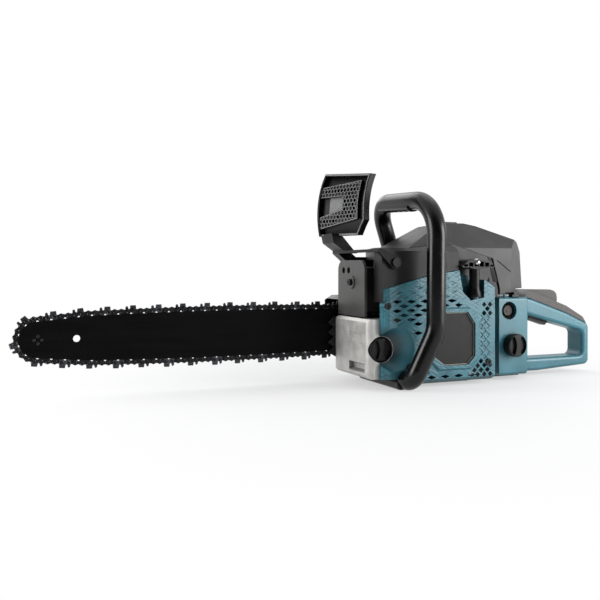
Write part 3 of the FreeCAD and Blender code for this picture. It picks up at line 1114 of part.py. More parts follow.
def clutch_cover():
    """The cover outside the bar, open in front for the bar, held by two nuts."""
    outline = spread(COVER_SHARES, "cover_rear_x", "cover_front_x", "cover_low_z",
                     "cover_high_z")
    part = body("clutch_cover")
    pad(part, "XZ", outline, "-cover_right", "-cover_left")

    def outer_edge(edge):
        return edge.CenterOfMass.y < -size.cover_right + size.part_gap

    soften(part, "cover_wall", outer_edge, "Chamfer")
    points = numbers(outline)
    inner = prism("XZ", points, -size.cover_right + size.cover_wall, 0, size.cover_wall)
    mouth_low = size.crank_z - size.bar_belly_half - 3 * size.chain_rise
    mouth_tall = 2 * (size.bar_belly_half + 3 * size.chain_rise)
    front = Part.makeBox(size.cover_front_x, size.cover_right, mouth_tall, Vector(
        size.cover_pad_front_x - 4 * size.cover_wall, -size.cover_right + size.cover_wall,
        mouth_low))
    hollow = solid("cover_hollow", inner.fuse(front))
    shell = without("cover_shell", part, [hollow])
    boss = body("cover_boss")
    pad(boss, "XZ", rectangle("cover_pad_rear_x", "cover_pad_low", "cover_pad_front_x",
                              "cover_pad_high"),
        "-cover_right + cover_wall - part_gap", "bar_y - bar_thick / 2")
    holes = [cylinder(f"cover_hole_{index}", "stud_radius + hole_gap", "-cover_right - overrun",
                      "bar_y", (across, "0", "crank_z"))
             for index, across in enumerate(("stud_rear_x", "stud_front_x"))]
    catcher = cylinder("chain_catcher", "catcher_radius", "-cover_right + cover_wall / 2",
                       "-cover_left - part_gap", ("cover_front_x - 9 * cover_wall", "0",
                                                  "cover_low_z + 2 * cover_wall"))
    keep(without("clutch_cover", joined("cover_whole", [shell, boss, catcher]), holes),
         "clutch_cover")
    long = size.cover_right + size.nut_high + size.overrun + size.case_right_y + size.stud_grip
    studs, nuts = [], []
    for across in (size.stud_rear_x, size.stud_front_x):
        foot = Vector(across, -size.cover_right - size.nut_high - size.overrun, size.crank_z)
        studs.append(Part.makeCylinder(size.stud_radius, long, foot, ACROSS))
        corners = [(across + size.nut_radius * math.cos(math.radians(60 * k)),
                    size.crank_z + size.nut_radius * math.sin(math.radians(60 * k)))
                   for k in range(6)]
        nut = prism("XZ", corners, -size.cover_right - size.nut_high, -size.cover_right)
        nuts.append(nut.cut(studs[-1]))
    keep(solid("bar_studs_and_nuts", Part.makeCompound(studs + nuts)), "bar_studs_and_nuts")
    bumper = body("spiked_bumper")
    teeth = [("oil_front_x - 4 * oil_wall", "bumper_low_z"), ("oil_front_x", "bumper_low_z")]
    for index in range(int(size.bumper_teeth)):
        tall = "(bumper_high_z - bumper_low_z) / bumper_teeth"
        base = f"bumper_low_z + {index} * {tall}"
        teeth.append(("oil_front_x + bumper_reach", f"{base} + {tall} * 0.45"))
        teeth.append(("oil_front_x + bumper_reach * 0.25", f"{base} + {tall}"))
    teeth.append(("oil_front_x - 4 * oil_wall", "bumper_high_z"))
    pad(bumper, "XZ", teeth, "case_right_y - bumper_thick", "case_right_y")
    keep(bumper, "spiked_bumper")


def muffler():
    """Pressed muffler box behind a round-cornered shield with two holes and a screw boss."""
    part = body("muffler")
    box(part, ("muffler_rear_x", "-muffler_half_y", "muffler_low_z"),
        ("muffler_front_x", "muffler_half_y", "muffler_high_z"))
    soften(part, "shield_round / 3", lambda edge: runs(edge, Vector(1, 0, 0)))
    hollow = body("muffler_hollow")
    box(hollow, ("muffler_rear_x + muffler_sheet", "-muffler_half_y + muffler_sheet",
                 "muffler_low_z + muffler_sheet"),
        ("muffler_front_x - muffler_sheet", "muffler_half_y - muffler_sheet",
         "muffler_high_z - muffler_sheet"))
    inlet = cylinder("muffler_inlet", "port_radius", "0", "muffler_rear_x + overrun",
                     ("0", "0", "(fin_low_z + roof_z) / 2"), "X")
    keep(without("muffler", part, [hollow, inlet]), "muffler")
    shield = body("muffler_shield")
    pad(shield, "YZ", rectangle("shield_right_y", "shield_low_z", "shield_left_y",
                                "shield_high_z"),
        "muffler_front_x", "muffler_front_x + shield_thick")

    def top_corner(edge):
        return runs(edge, Vector(1, 0, 0)) and edge.CenterOfMass.z > size.shield_high_z - size.overrun

    soften(shield, "shield_round", top_corner)
    front = "muffler_front_x + shield_thick"
    pad(shield, "YZ", ("shield_screw_y", "shield_screw_z", "shield_boss"), front,
        f"{front} + shield_thick / 2")
    pocket(shield, "YZ", ("shield_screw_y", "shield_screw_z", "screw_radius"),
           "muffler_front_x - overrun", "muffler_front_x + shield_thick * 2")
    for share in ("0.55", "0.15"):
        pocket(shield, "YZ", (f"shield_right_y * {share}", "shield_high_z - shield_round",
                              "shield_hole"), "muffler_front_x - overrun", f"{front} + overrun")
    keep(shield, "muffler_shield")


def roof_line(gap):
    """The two covers' shared seam, from the front of the filter cover to its rear foot."""
    return [("seam_front_x", f"seam_front_z + {gap}"), ("seam_peak_x", f"seam_peak_z + {gap}"),
            (f"seam_rear_x - {gap}", f"seam_rear_z + {gap}")]


def opened(points, limit, drop):
    """The points, with those below a limit moved down so that a hollow opens there."""
    return [(across, up - drop if up < limit else up) for across, up in points]


def housing_outline():
    return spread(HOUSING_SHARES, "housing_rear_x", "housing_front_x", "housing_low_z",
                  "housing_high_z")


def shroud():
    """The cylinder's cover: left wall over the starter housing, open round the muffler."""
    part = body("cylinder_cover")
    front = [("shroud_front_x", "shroud_low_z"), ("shroud_front_x", "roof_front_z"),
             ("roof_edge_x", "seam_front_z")] + roof_line("0")[:2]
    rear_foot = [("seam_foot_x", "hood_low_z"), ("seam_foot_x", "shroud_low_z + 2 * overrun"),
                 ("housing_rear_x", "shroud_low_z + 2 * overrun"), ("housing_rear_x",
                                                                    "shroud_low_z")]
    whole = front + roof_line("0")[2:] + rear_foot
    pad(part, "XZ", whole, "shroud_right_y", "hood_left_y")
    split = "shroud_split_x"
    roof_slope = "(seam_peak_z - seam_rear_z) / (seam_peak_x - seam_rear_x)"
    outer = front + [(split, f"seam_peak_z - {roof_slope} * (seam_peak_x - {split})"),
                     (split, "shroud_low_z")]
    pad(part, "XZ", outer, "hood_left_y - shroud_wall", "shroud_left_y")
    high = "seam_peak_z + overrun"
    sweep = [("shroud_front_x", "shroud_oblique_y"),
             ("shroud_oblique_x", "shroud_right_y - overrun"),
             ("shroud_front_x + overrun", "shroud_right_y - overrun"),
             ("shroud_front_x + overrun", "shroud_oblique_y")]
    pocket(part, "XY", sweep, "-overrun", high)
    for side, sign in (("shroud_left_y", "-"), ("shroud_right_y", "+")):
        away = "+" if sign == "-" else "-"
        bevel = [(f"{side} {sign} 2 * shroud_bevel", high),
                 (f"{side} {sign} 2 * shroud_bevel", "seam_peak_z - overrun"),
                 (side, "seam_front_z - shroud_bevel / 2"),
                 (f"{side} {away} overrun", "seam_front_z - shroud_bevel / 2"),
                 (f"{side} {away} overrun", high)]
        pocket(part, "YZ", bevel, "shroud_split_x * 2", "shroud_front_x + overrun")
    wall = size.shroud_wall
    limit = size.seam_front_z - 2 * size.shroud_bevel
    drop = 8 * wall
    inner_rear = prism("XZ", opened(numbers(whole), limit, drop), size.shroud_right_y + wall,
                       size.hood_left_y - wall, wall)
    inner_front = prism("XZ", opened(numbers(outer), limit, drop), size.hood_left_y - 2 * wall,
                        size.shroud_left_y - wall, wall)
    roof = prism("YZ", numbers([
        ("shroud_right_y + shroud_wall", "0"), ("shroud_left_y - shroud_wall", "0"),
        ("shroud_left_y - shroud_wall", "seam_front_z - shroud_bevel"),
        ("shroud_left_y - 2 * shroud_bevel", "seam_peak_z - 2 * shroud_wall"),
        ("shroud_right_y + 2 * shroud_bevel", "seam_peak_z - 2 * shroud_wall"),
        ("shroud_right_y + shroud_wall", "seam_front_z - shroud_bevel")]),
        size.seam_foot_x - size.overrun, size.shroud_front_x + size.overrun)
    plan = prism("XY", numbers([
        ("seam_foot_x - overrun", "shroud_right_y"),
        ("shroud_oblique_x - shroud_wall", "shroud_right_y"),
        ("shroud_front_x - shroud_wall", "shroud_oblique_y"),
        ("shroud_front_x - shroud_wall", "shroud_left_y"),
        ("seam_foot_x - overrun", "shroud_left_y")]), 0, size.seam_peak_z)
    hollow = solid("shroud_hollow", inner_rear.fuse(inner_front).common(roof).common(plan))
    window = body("shroud_window")
    box(window, ("fin_half_x + free_gap", "shroud_right_y - overrun", "0"),
        ("shroud_front_x + overrun", "shield_left_y + free_gap", "shield_high_z + part_gap"))
    under = body("shroud_under")
    box(under, ("seam_foot_x - overrun", "shroud_right_y - overrun", "0"),
        ("shroud_front_x + overrun", "hood_left_y - shroud_wall", "shroud_low_z + 6 * overrun"))
    rear = body("shroud_rear_way")
    box(rear, ("seam_foot_x - overrun", "-filter_half_y - free_gap", "0"),
        ("seam_rear_x + overrun", "filter_half_y + free_gap", "filter_high_z"))
    plug = cylinder("shroud_plug_way", "boot_radius + free_gap", "head_z",
                    "seam_peak_z + seam_front_z", ("0", "0", "0"), "Z")
    rims = prism("XZ", numbers(housing_outline()), size.shroud_right_y - size.overrun,
                 size.shroud_left_y + size.overrun, -size.part_gap)
    below_rims = solid("shroud_rim_cut", rims)
    pins = cylinder("guard_pin_way", "guard_pin_radius + shaft_gap", "shroud_right_y - overrun",
                    "shroud_left_y + overrun", ("guard_x", "0", "guard_z"))
    ear = body("shroud_ear")
    box(ear, ("case_rear_x", "shroud_right_y", "front_end_z"),
        ("guard_x + guard_lug_radius", "shroud_right_y + shroud_wall",
         "guard_z + guard_lug_radius"))
    shell = without("shroud_shell", part, [hollow, window, under, rear, plug, below_rims])
    keep(without("cylinder_cover", joined("shroud_whole", [shell, ear]), [pins]),
         "cylinder_cover")


HOOD_SHARES = [(0.739, 0.958), (0.635, 1), (0.518, 1), (0.432, 0.964), (0.108, 0.719),
               (0.045, 0.573), (0, 0)]
HOOD_WAIST_SHARE = 0.62
HOOD_SLOPE_SHARE = 0.27
HOOD_CORNER_SHARE = 0.22
HOOD_TAPER_SHARE = 0.38


def hood():
    """The faceted filter cover that lifts off behind the cylinder cover's seam."""
    part = body("filter_cover")
    outline = spread(HOOD_SHARES, "hood_rear_x", "seam_front_x", "hood_low_z", "hood_high_z")
    seam = roof_line("seam_gap")
    slot = [("seam_rear_x - seam_slot", "seam_rear_z"),
            ("seam_foot_x - seam_slot", "hood_low_z + part_gap"), ("seam_foot_x - seam_slot",
                                                                  "hood_low_z")]
    skirt = [("hood_rear_x", "hood_skirt_z"), ("seam_foot_x - seam_slot", "hood_skirt_z")]
    outline = outline + skirt + slot[:0:-1] + slot[:1] + seam[::-1]
    pad(part, "XZ", outline, "hood_right_y", "hood_left_y")
    tall = "hood_high_z + overrun"
    wide = "(hood_left_y - hood_right_y)"
    long = "(seam_front_x - hood_rear_x)"
    waist_z = f"hood_low_z + {HOOD_WAIST_SHARE} * (hood_high_z - hood_low_z)"
    corner_x = f"hood_rear_x + {HOOD_CORNER_SHARE} * {long}"
    for side, sign in (("hood_left_y", "-"), ("hood_right_y", "+")):
        away = "+" if sign == "-" else "-"
        slope = [(f"{side} {sign} {HOOD_SLOPE_SHARE} * {wide}", tall),
                 (f"{side} {sign} {HOOD_SLOPE_SHARE} * {wide}", "hood_high_z"),
                 (f"{side} {sign} overrun / 2", waist_z),
                 (side, "hood_low_z"), (f"{side} {away} overrun", "hood_low_z"),
                 (f"{side} {away} overrun", tall)]
        pocket(part, "YZ", slope, "hood_rear_x - overrun", "seam_front_x + overrun")
        corner = [("hood_rear_x - overrun", f"{side} {away} overrun"),
                  (f"{corner_x} + overrun", f"{side} {away} overrun"), (corner_x, side),
                  ("hood_rear_x", f"{side} {sign} {HOOD_TAPER_SHARE} * {wide}"),
                  ("hood_rear_x - overrun", f"{side} {sign} {HOOD_TAPER_SHARE} * {wide}")]
        pocket(part, "XY", corner, "-overrun", tall)
    wall = size.hood_wall
    points = opened(numbers(outline), size.hood_low_z + wall, 2 * wall)
    lowered = points[:-3] + [(across, up - 2 * wall) for across, up in points[-3:]]
    inner = prism("XZ", lowered, size.hood_right_y, size.hood_left_y, wall)
    roof = prism("YZ", numbers([
        ("hood_right_y + hood_wall", "0"), ("hood_left_y - hood_wall", "0"),
        ("hood_left_y - hood_wall - overrun / 2", waist_z),
        (f"hood_left_y - {HOOD_SLOPE_SHARE} * {wide} - hood_wall / 2", "hood_high_z - hood_wall"),
        (f"hood_right_y + {HOOD_SLOPE_SHARE} * {wide} + hood_wall / 2", "hood_high_z - hood_wall"),
        ("hood_right_y + hood_wall + overrun / 2", waist_z)]),
        size.hood_rear_x, size.seam_front_x)
    plan = prism("XY", numbers([
        ("hood_rear_x + hood_wall", f"hood_right_y + {HOOD_TAPER_SHARE} * {wide}"),
        (corner_x, "hood_right_y + hood_wall * 1.2"), ("seam_front_x", "hood_right_y + hood_wall"),
        ("seam_front_x", "hood_left_y - hood_wall"), (corner_x, "hood_left_y - hood_wall * 1.2"),
        ("hood_rear_x + hood_wall", f"hood_left_y - {HOOD_TAPER_SHARE} * {wide}")]),
        0, size.hood_high_z)
    hollow = solid("hood_hollow", inner.common(roof).common(plan))
    front = body("hood_front_way")
    box(front, ("seam_foot_x - seam_slot - 2 * hood_wall", "-filter_half_y - free_gap", "0"),
        ("seam_rear_x", "filter_half_y + free_gap", "filter_high_z + free_gap"))
    handle_way = body("hood_handle_way")
    box(handle_way, ("hood_rear_x - overrun", "hood_right_y - overrun", "0"),
        ("seam_front_x", "handle_left_y + free_gap", "hood_low_z"))
    keep(without("filter_cover", part, [hollow, front, handle_way]), "filter_cover")


def intake():
    """Rubber boot, carburettor with its butterfly, filter and choke rod."""
    axis_z = "carb_low_z + throat_radius + overrun"
    keep(ring("intake_boot", "throat_radius", "boot_pipe_radius", "carb_front_x",
              "-fin_half_x - fin_step / 2", ("0", "0", axis_z), "X"), "intake_boot")
    part = body("carburettor")
    box(part, ("carb_rear_x", "-carb_half_y", "carb_low_z"),
        ("carb_front_x", "carb_half_y", "carb_high_z"))
    throat = cylinder("carb_throat", "throat_radius", "carb_rear_x - overrun",
                      "carb_front_x + overrun", ("0", "0", axis_z), "X")
    middle_x = "(carb_rear_x + carb_front_x) / 2"
    spindle_hole = cylinder("carb_spindle_hole", "butterfly_shaft + shaft_gap",
                            "carb_low_z - overrun", "carb_high_z + overrun",
                            (middle_x, "0", "0"), "Z")
    keep(without("carburettor", part, [throat, spindle_hole]), "carburettor")
    spindle = cylinder("butterfly_spindle", "butterfly_shaft", "carb_low_z",
                       "carb_high_z + 2 * overrun", (middle_x, "0", "0"), "Z")
    disc = cylinder("butterfly_disc", "butterfly_radius", "-butterfly_thick / 2",
                    "butterfly_thick / 2", (middle_x, "0", axis_z), "X")
    lever = body("butterfly_lever")
    pad(lever, "XY", rectangle(f"{middle_x} - butterfly_shaft", "-butterfly_shaft",
                               f"{middle_x} + butterfly_shaft", "carb_half_y * 0.8"),
        "carb_high_z + part_gap", "carb_high_z + overrun")
    keep(joined("throttle_butterfly", [spindle, disc, lever]), "throttle_butterfly")
    filter_box = body("air_filter")
    box(filter_box, ("filter_rear_x", "-filter_half_y", "filter_low_z"),
        ("filter_front_x", "filter_half_y", "filter_high_z"))
    flange = ring("filter_flange", "throat_radius", "boot_pipe_radius",
                  "filter_front_x - overrun", "carb_rear_x", ("0", "0", axis_z), "X")
    inner = body("filter_inner")
    box(inner, ("filter_rear_x + filter_wall", "filter_wall - filter_half_y",
                "filter_low_z + filter_wall"),
        ("filter_front_x - filter_wall", "filter_half_y - filter_wall",
         "filter_high_z - filter_wall"))
    throat_way = cylinder("filter_throat", "throat_radius", "filter_front_x - 2 * filter_wall",
                          "carb_rear_x", ("0", "0", axis_z), "X")
    keep(without("air_filter", joined("filter_whole", [filter_box, flange]),
                 [inner, throat_way]), "air_filter")


TANK_PLAN_SHARES = [(0, 0.06), (0.12, 0), (1, 0), (1, 1), (0.3, 1), (0, 0.78)]
HANDLE_SHARES = [(1.04, 1), (0.89, 0.958), (0.355, 0.754), (0, 0.58), (0, 0.0), (0.8, -0.05),
                 (1.04, -0.05)]
HOLE_SHARES = [(1, 1), (0, 0.58), (0, 0), (1, 0)]
STRIP_SHARES = [(1.0, 1), (0.89, 0.958), (0.355, 0.754), (0.03, 0.595), (0.09, 0.69),
                (0.355, 0.854), (0.89, 1.068), (1.0, 1.1)]


def tank_and_handle():
    """One moulding: the fuel tank and the loop of the rear handle behind it."""
    tank = body("tank")
    plan = spread(TANK_PLAN_SHARES, "handle_front_x", "tank_front_x", "tank_right_y",
                  "tank_left_y")
    pad(tank, "XY", plan, "tank_low_z", "tank_high_z")
    soften(tank, "tank_edge_round", lambda edge: abs(
        edge.CenterOfMass.z - (size.tank_high_z + size.tank_low_z) / 2) > size.tank_low_z
        + (size.tank_high_z - size.tank_low_z) / 3)
    attic = body("tank_attic")
    box(attic, ("handle_front_x + 2 * tank_wall", "tank_right_y + tank_wall",
                "buffer_z - buffer_radius"),
        ("tank_front_x + overrun", "tank_left_y - buffer_deep - tank_wall",
         "tank_high_z - tank_wall"))
    foot = body("tank_foot")
    box(foot, ("handle_front_x + tank_wall", "-foot_half_y", "0"),
        ("tank_front_x - 2 * tank_wall", "foot_half_y", "tank_low_z + tank_wall"))
    loop = body("handle_loop")
    outline = spread(HANDLE_SHARES, "handle_rear_x", "handle_front_x", "handle_low_z",
                     "tank_high_z")
    pad(loop, "XZ", outline, "handle_right_y", "handle_left_y")
    hole = spread(HOLE_SHARES, "handle_rear_x + handle_post", "handle_front_x",
                  "handle_low_z + handle_bar", "tank_high_z - handle_deep")
    pocket(loop, "XZ", hole, "handle_right_y - overrun", "handle_left_y + overrun")

    def corner_edge(edge):
        return runs(edge, ACROSS) and edge.CenterOfMass.x < size.handle_front_x - size.cap_radius

    def side_edge(edge):
        at = edge.CenterOfMass
        side = min(abs(at.y - size.handle_left_y), abs(at.y - size.handle_right_y)) < size.hole_gap
        return side and at.x < size.handle_front_x - size.overrun

    soften(loop, "handle_corner", corner_edge)
    soften(loop, "handle_round", side_edge)
    cavity = body("tank_hollow")
    inner = spread(TANK_PLAN_SHARES, "handle_front_x + 2 * tank_wall",
                   "tank_front_x - tank_wall", "tank_right_y + tank_wall",
                   "tank_left_y - tank_wall")
    pad(cavity, "XY", inner, "tank_low_z + tank_wall", "buffer_z - buffer_radius - tank_wall")
    neck = cylinder("fuel_neck", "cap_neck_radius", "tank_left_y - cap_neck_deep",
                    "tank_left_y + overrun", ("fuel_cap_x", "0", "fuel_cap_z"))
    seat = cylinder("buffer_hole", "buffer_radius", "tank_left_y - buffer_deep",
                    "tank_left_y + overrun", ("buffer_x", "0", "buffer_z"))
    trigger_slot = body("trigger_slot")
    box(trigger_slot, ("handle_front_x - trigger_slot_long",
                       "(handle_left_y + handle_right_y) / 2 - slot_half_y", "trigger_slot_z"),
        ("handle_front_x - overrun", "(handle_left_y + handle_right_y) / 2 + slot_half_y",
         "tank_high_z + overrun"))
    guide = body("choke_guide")
    box(guide, ("tank_rear_x - choke_boss", "choke_y - choke_boss", "tank_high_z - overrun"),
        ("tank_rear_x + choke_boss", "choke_y + choke_boss", "choke_z + choke_boss * 0.8"))
    rod_way = cylinder("choke_way", "choke_radius + shaft_gap", "handle_front_x",
                       "tank_front_x", ("0", "choke_y", "choke_z"), "X")
    whole = joined("tank_whole", [tank, foot, loop, guide])
    keep(without("tank_handle", whole, [cavity, attic, neck, seat, trigger_slot, rod_way]),
         "tank_handle")
    mounts = [cylinder(f"rear_mount_{index}", "mount_radius", "tank_front_x", "case_rear_x",
                       ("0", across, "mount_z"), "X")
              for index, across in enumerate(("mount_y", "-mount_y"))]
    group("buffer_rubbers", mounts + [
        turned("side_buffer", [
            ("screw_radius", "-buffer_deep"), ("buffer_radius", "-buffer_deep"),
            ("buffer_radius", "-buffer_deep / 3"), ("buffer_radius * 0.8", "-buffer_deep / 3"),
            ("buffer_radius * 0.8", "-buffer_deep * 0.7"), ("buffer_radius * 0.6", "-buffer_deep * 0.7"),
            ("buffer_radius * 0.6", "-buffer_deep / 4"), ("screw_radius", "-buffer_deep / 4"),
        ], ("buffer_x", "tank_left_y", "buffer_z"), "Y")])


def screw_cap(name, across, up, face):
    """A screw cap with a knurled rim, a finger ridge and a plug, and its sealing ring."""
    top = "cap_high"
    cap = turned(name + "_disc", [
        ("0", "seal_thick"), ("cap_neck_radius", "seal_thick"),
        ("cap_radius - overrun / 2", "seal_thick"), ("cap_radius", "seal_thick + overrun / 2"),
        ("cap_radius", f"{top} - overrun"), ("cap_radius - overrun", top), ("0", top),
    ], (across, face, up), "Y")
    plug = cylinder(name + "_plug", "cap_neck_radius - cap_thread_gap", "-cap_neck_deep / 2",
                    "seal_thick + overrun", (across, face, up))
    knurls = []
    count = int(size.cap_knurls)
    for index in range(count):
        angle = 360 * index / count
        groove = Part.makeCylinder(size.overrun / 2.5, size.cap_high, Vector(
            size.cap_radius + size.overrun / 8, size.seal_thick + size.overrun, 0), ACROSS)
        groove.rotate(Vector(0, 0, 0), ACROSS, angle)
        groove.translate(Vector(value(across), value(face), value(up)))
        knurls.append(groove)
    finger = []
    for sign in (1, -1):
        hollow = Part.makeCylinder(size.cap_radius * 1.5, size.cap_ridge_high, Vector(
            value(across), value(face) + size.cap_high - size.cap_ridge_high, value(up)), ACROSS)
        hollow.translate(Vector(sign * (size.cap_radius * 1.5 + size.cap_ridge / 2), 0, 0))
        disc = Part.makeCylinder(size.cap_radius - size.overrun, size.cap_high * 2, Vector(
            value(across), value(face), value(up)), ACROSS)
        finger.append(hollow.common(disc))
    tools = [solid(name + "_knurls", Part.makeCompound(knurls)),
             solid(name + "_finger", Part.makeCompound(finger))]
    keep(without(name, joined(name + "_whole", [cap, plug]), tools), name)
    keep(ring(name + "_seal", "cap_neck_radius - cap_thread_gap", "cap_neck_radius + overrun",
              "0", "seal_thick", (across, face, up)), name + "_seal")


def bent_path(points, radii):
    """A path of straight runs with an arc of its own radius at every inner point."""
    edges = []
    start = points[0]
    for before, corner, after, radius in zip(points, points[1:], points[2:], radii):
        back = (before - corner).normalize()
        on = (after - corner).normalize()
        half = math.acos(max(-1.0, min(1.0, back.dot(on)))) / 2
        reach = radius / math.tan(half)
        entry, leave = corner + back * reach, corner + on * reach
        middle = corner + (back + on).normalize() * (radius / math.sin(half) - radius)
        edges.append(Part.LineSegment(start, entry).toShape())
        edges.append(Part.Arc(entry, middle, leave).toShape())
        start = leave
    edges.append(Part.LineSegment(start, points[-1]).toShape())
    return Part.Wire(edges)


def sweep(path, radius):
    """A round bar along a path."""
    first = path.OrderedEdges[0]
    heading = first.tangentAt(first.FirstParameter)
    circle = Part.Wire(Part.Circle(path.OrderedVertexes[0].Point, heading, radius).toShape())
    return path.makePipeShell([circle], True, False)


WAVE_SHARE = 0.88


def front_handle():
    """The bent tube handle, its rubber sleeve with finger waves, and the flat base bar."""
    s = size
    points = [
        Vector(s.front_end_x, s.front_right_y, s.front_end_z),
        Vector(s.front_top_x, s.front_right_y, s.front_top_z),
        Vector(s.front_top_x, s.front_left_y, s.front_top_z - s.front_top_drop),
        Vector(s.front_knee_x, s.front_left_y, s.front_knee_z),
        Vector(s.front_foot_x, s.front_foot_y, s.sleeve_radius),
        Vector(s.front_foot_x, s.front_foot_in_y, s.sleeve_radius),
    ]
    radii = [s.bend_tight, s.bend_wide, s.bend_knee, s.bend_foot]
    path = bent_path(points, radii)
    tube = sweep(path, s.tube_radius)
    bore = sweep(path, s.tube_radius - s.tube_wall)
    rubber = sweep(path, s.sleeve_radius)
    waves = []
    long = (s.grip_left_y - s.grip_right_y) / s.grip_waves
    fall = math.degrees(math.atan2(s.front_top_drop, s.front_left_y - s.front_right_y))
    for index in range(int(s.grip_waves)):
        wave = Part.makeCylinder(long * 0.62, 2 * WAVE_SHARE * s.sleeve_radius, Vector(
            s.front_top_x - WAVE_SHARE * s.sleeve_radius, s.grip_right_y + (index + 0.5) * long,
            s.front_top_z - s.sleeve_radius - s.grip_wave - s.part_gap + long * 0.62), AHEAD)
        limit = Part.makeCylinder(s.sleeve_radius + s.grip_wave, long, Vector(
            s.front_top_x, s.grip_right_y + index * long, s.front_top_z), ACROSS)
        under = Part.makeBox(4 * s.sleeve_radius, long, s.sleeve_radius + 2 * s.grip_wave, Vector(
            s.front_top_x - 2 * s.sleeve_radius, s.grip_right_y + index * long,
            s.front_top_z - s.sleeve_radius - 2 * s.grip_wave))
        ripple = wave.common(limit).common(under)
        ripple.rotate(points[1], AHEAD, -fall)
        waves.append(ripple)
    sleeve = rubber.fuse(waves).cut(tube).removeSplitter()
    bracket = body("handle_bracket")
    low, high = "cover_high_z + free_gap", "cover_high_z + free_gap + bracket_thick"
    box(bracket, ("bracket_rear_x", "front_right_y - sleeve_radius", low),
        ("front_end_x + sleeve_radius", "-fin_half_y - free_gap", high))
    box(bracket, ("bracket_rear_x", "-fin_half_y - 2 * free_gap", low),
        ("bracket_inner_x", "bracket_foot_y", high))
    box(bracket, ("bracket_rear_x", "case_right_y", "deck_z"),
        ("bracket_inner_x", "bracket_foot_y", high))
    stub = cylinder("tube_stub", "tube_radius - tube_wall / 2", f"{low} + overrun",
                    "front_end_z + overrun", ("front_end_x", "front_right_y", "0"), "Z")
    keep(joined("front_handle_tube", [solid("bent_tube", tube.cut(bore)), bracket, stub]),
         "front_handle_tube")
    keep(solid("front_handle_sleeve", sleeve), "front_handle_sleeve")
    print(f"front handle {path.Length:.0f} mm, volume share "
          f"{tube.Volume / (math.pi * s.tube_radius ** 2 * path.Length):.4f}")
    bar = body("handle_base_bar")
    box(bar, ("front_foot_x - base_bar_wide / 2", "base_bar_right_y", "0"),
        ("front_foot_x + base_bar_wide / 2", "front_foot_in_y", "base_bar_high"))
    soften(bar, "base_bar_high * 0.4", lambda edge: runs(edge, ACROSS))
    keep(bar, "handle_base_bar")


TRIGGER_SHARES = [(1, 0.97), (0.78, 1), (0.14, 0.4), (0, 0.2), (0.14, 0), (0.42, 0.13),
                  (0.7, 0.25), (1, 0.67)]
LOCKOUT_SHARES = [(1, 0.39), (0.95, 0.8), (0.78, 1), (0.2, 0.97), (0.09, 0.88), (0.02, 0.7),
                  (0, 0.45), (0, 0.13), (0.04, 0), (0.6, 0.26), (0.89, 0.22)]


def handle_parts():
    """Grey top strip, throttle trigger and lockout lever of the rear handle."""
    strip = body("handle_top_strip")
    top = spread(STRIP_SHARES, "handle_rear_x", "handle_front_x", "handle_low_z", "tank_high_z")
    pad(strip, "XZ", top, "handle_right_y + handle_round / 2", "handle_left_y - handle_round / 2")
    middle_y = "(handle_left_y + handle_right_y) / 2"
    pocket(strip, "XY", rectangle("lockout_rear_x - 2 * free_gap", f"{middle_y} - slot_half_y",
                                  "handle_front_x + overrun", f"{middle_y} + slot_half_y"),
           "0", "tank_high_z + 2 * handle_strip")
    keep(strip, "handle_top_strip")
    near, far = f"{middle_y} - trigger_half_y", f"{middle_y} + trigger_half_y"
    trigger = body("throttle_trigger")
    blade = spread(TRIGGER_SHARES, "trigger_x - trigger_long", "trigger_x + trigger_nose",
                   "trigger_z - trigger_deep", "trigger_z + trigger_nose")
    pad(trigger, "XZ", blade, near, far)
    pocket(trigger, "XZ", ("trigger_x", "trigger_z", "trigger_pin_radius + shaft_gap"),
           f"{near} - overrun", f"{far} + overrun")
    keep(trigger, "throttle_trigger")
    lever = body("throttle_lockout")
    palm = spread(LOCKOUT_SHARES, "lockout_rear_x", "lockout_x + lockout_nose",
                  "lockout_z - lockout_drop", "lockout_z + lockout_rise")
    pad(lever, "XZ", palm, near, far)
    pocket(lever, "XZ", ("lockout_x", "lockout_z", "trigger_pin_radius + shaft_gap"),
           f"{near} - overrun", f"{far} + overrun")
    keep(lever, "throttle_lockout")
    return [cylinder(name, "trigger_pin_radius", f"{middle_y} - slot_half_y",
                     f"{middle_y} + slot_half_y", (across, "0", up))
            for name, across, up in (("trigger_pin", "trigger_x", "trigger_z"),
                                     ("lockout_pin", "lockout_x", "lockout_z"))]


def small_controls():
    """Stop switch and choke, both on the tank's top."""
    switch = body("stop_switch")
    seat = "tank_high_z + part_gap"
    box(switch, ("stop_x - stop_long / 2", "stop_y - stop_wide / 2", seat),
        ("stop_x + stop_long / 2", "stop_y + stop_wide / 2", f"{seat} + stop_high / 2"))
    box(switch, ("stop_x - stop_long / 4", "stop_y - stop_wide / 2", f"{seat} + stop_high / 2"),
        ("stop_x + stop_long / 4", "stop_y + stop_wide / 2", f"{seat} + stop_high"))
    keep(switch, "stop_switch")
    rod = cylinder("choke_rod_bar", "choke_radius", "choke_front_x - choke_long", "choke_front_x",
                   ("0", "choke_y", "choke_z"), "X")
    knob = cylinder("choke_knob_disc", "choke_knob_radius",
                    "choke_front_x - choke_long - choke_knob_long",
                    "choke_front_x - choke_long", ("0", "choke_y", "choke_z"), "X")
    keep(joined("choke_knob", [rod, knob]), "choke_knob")


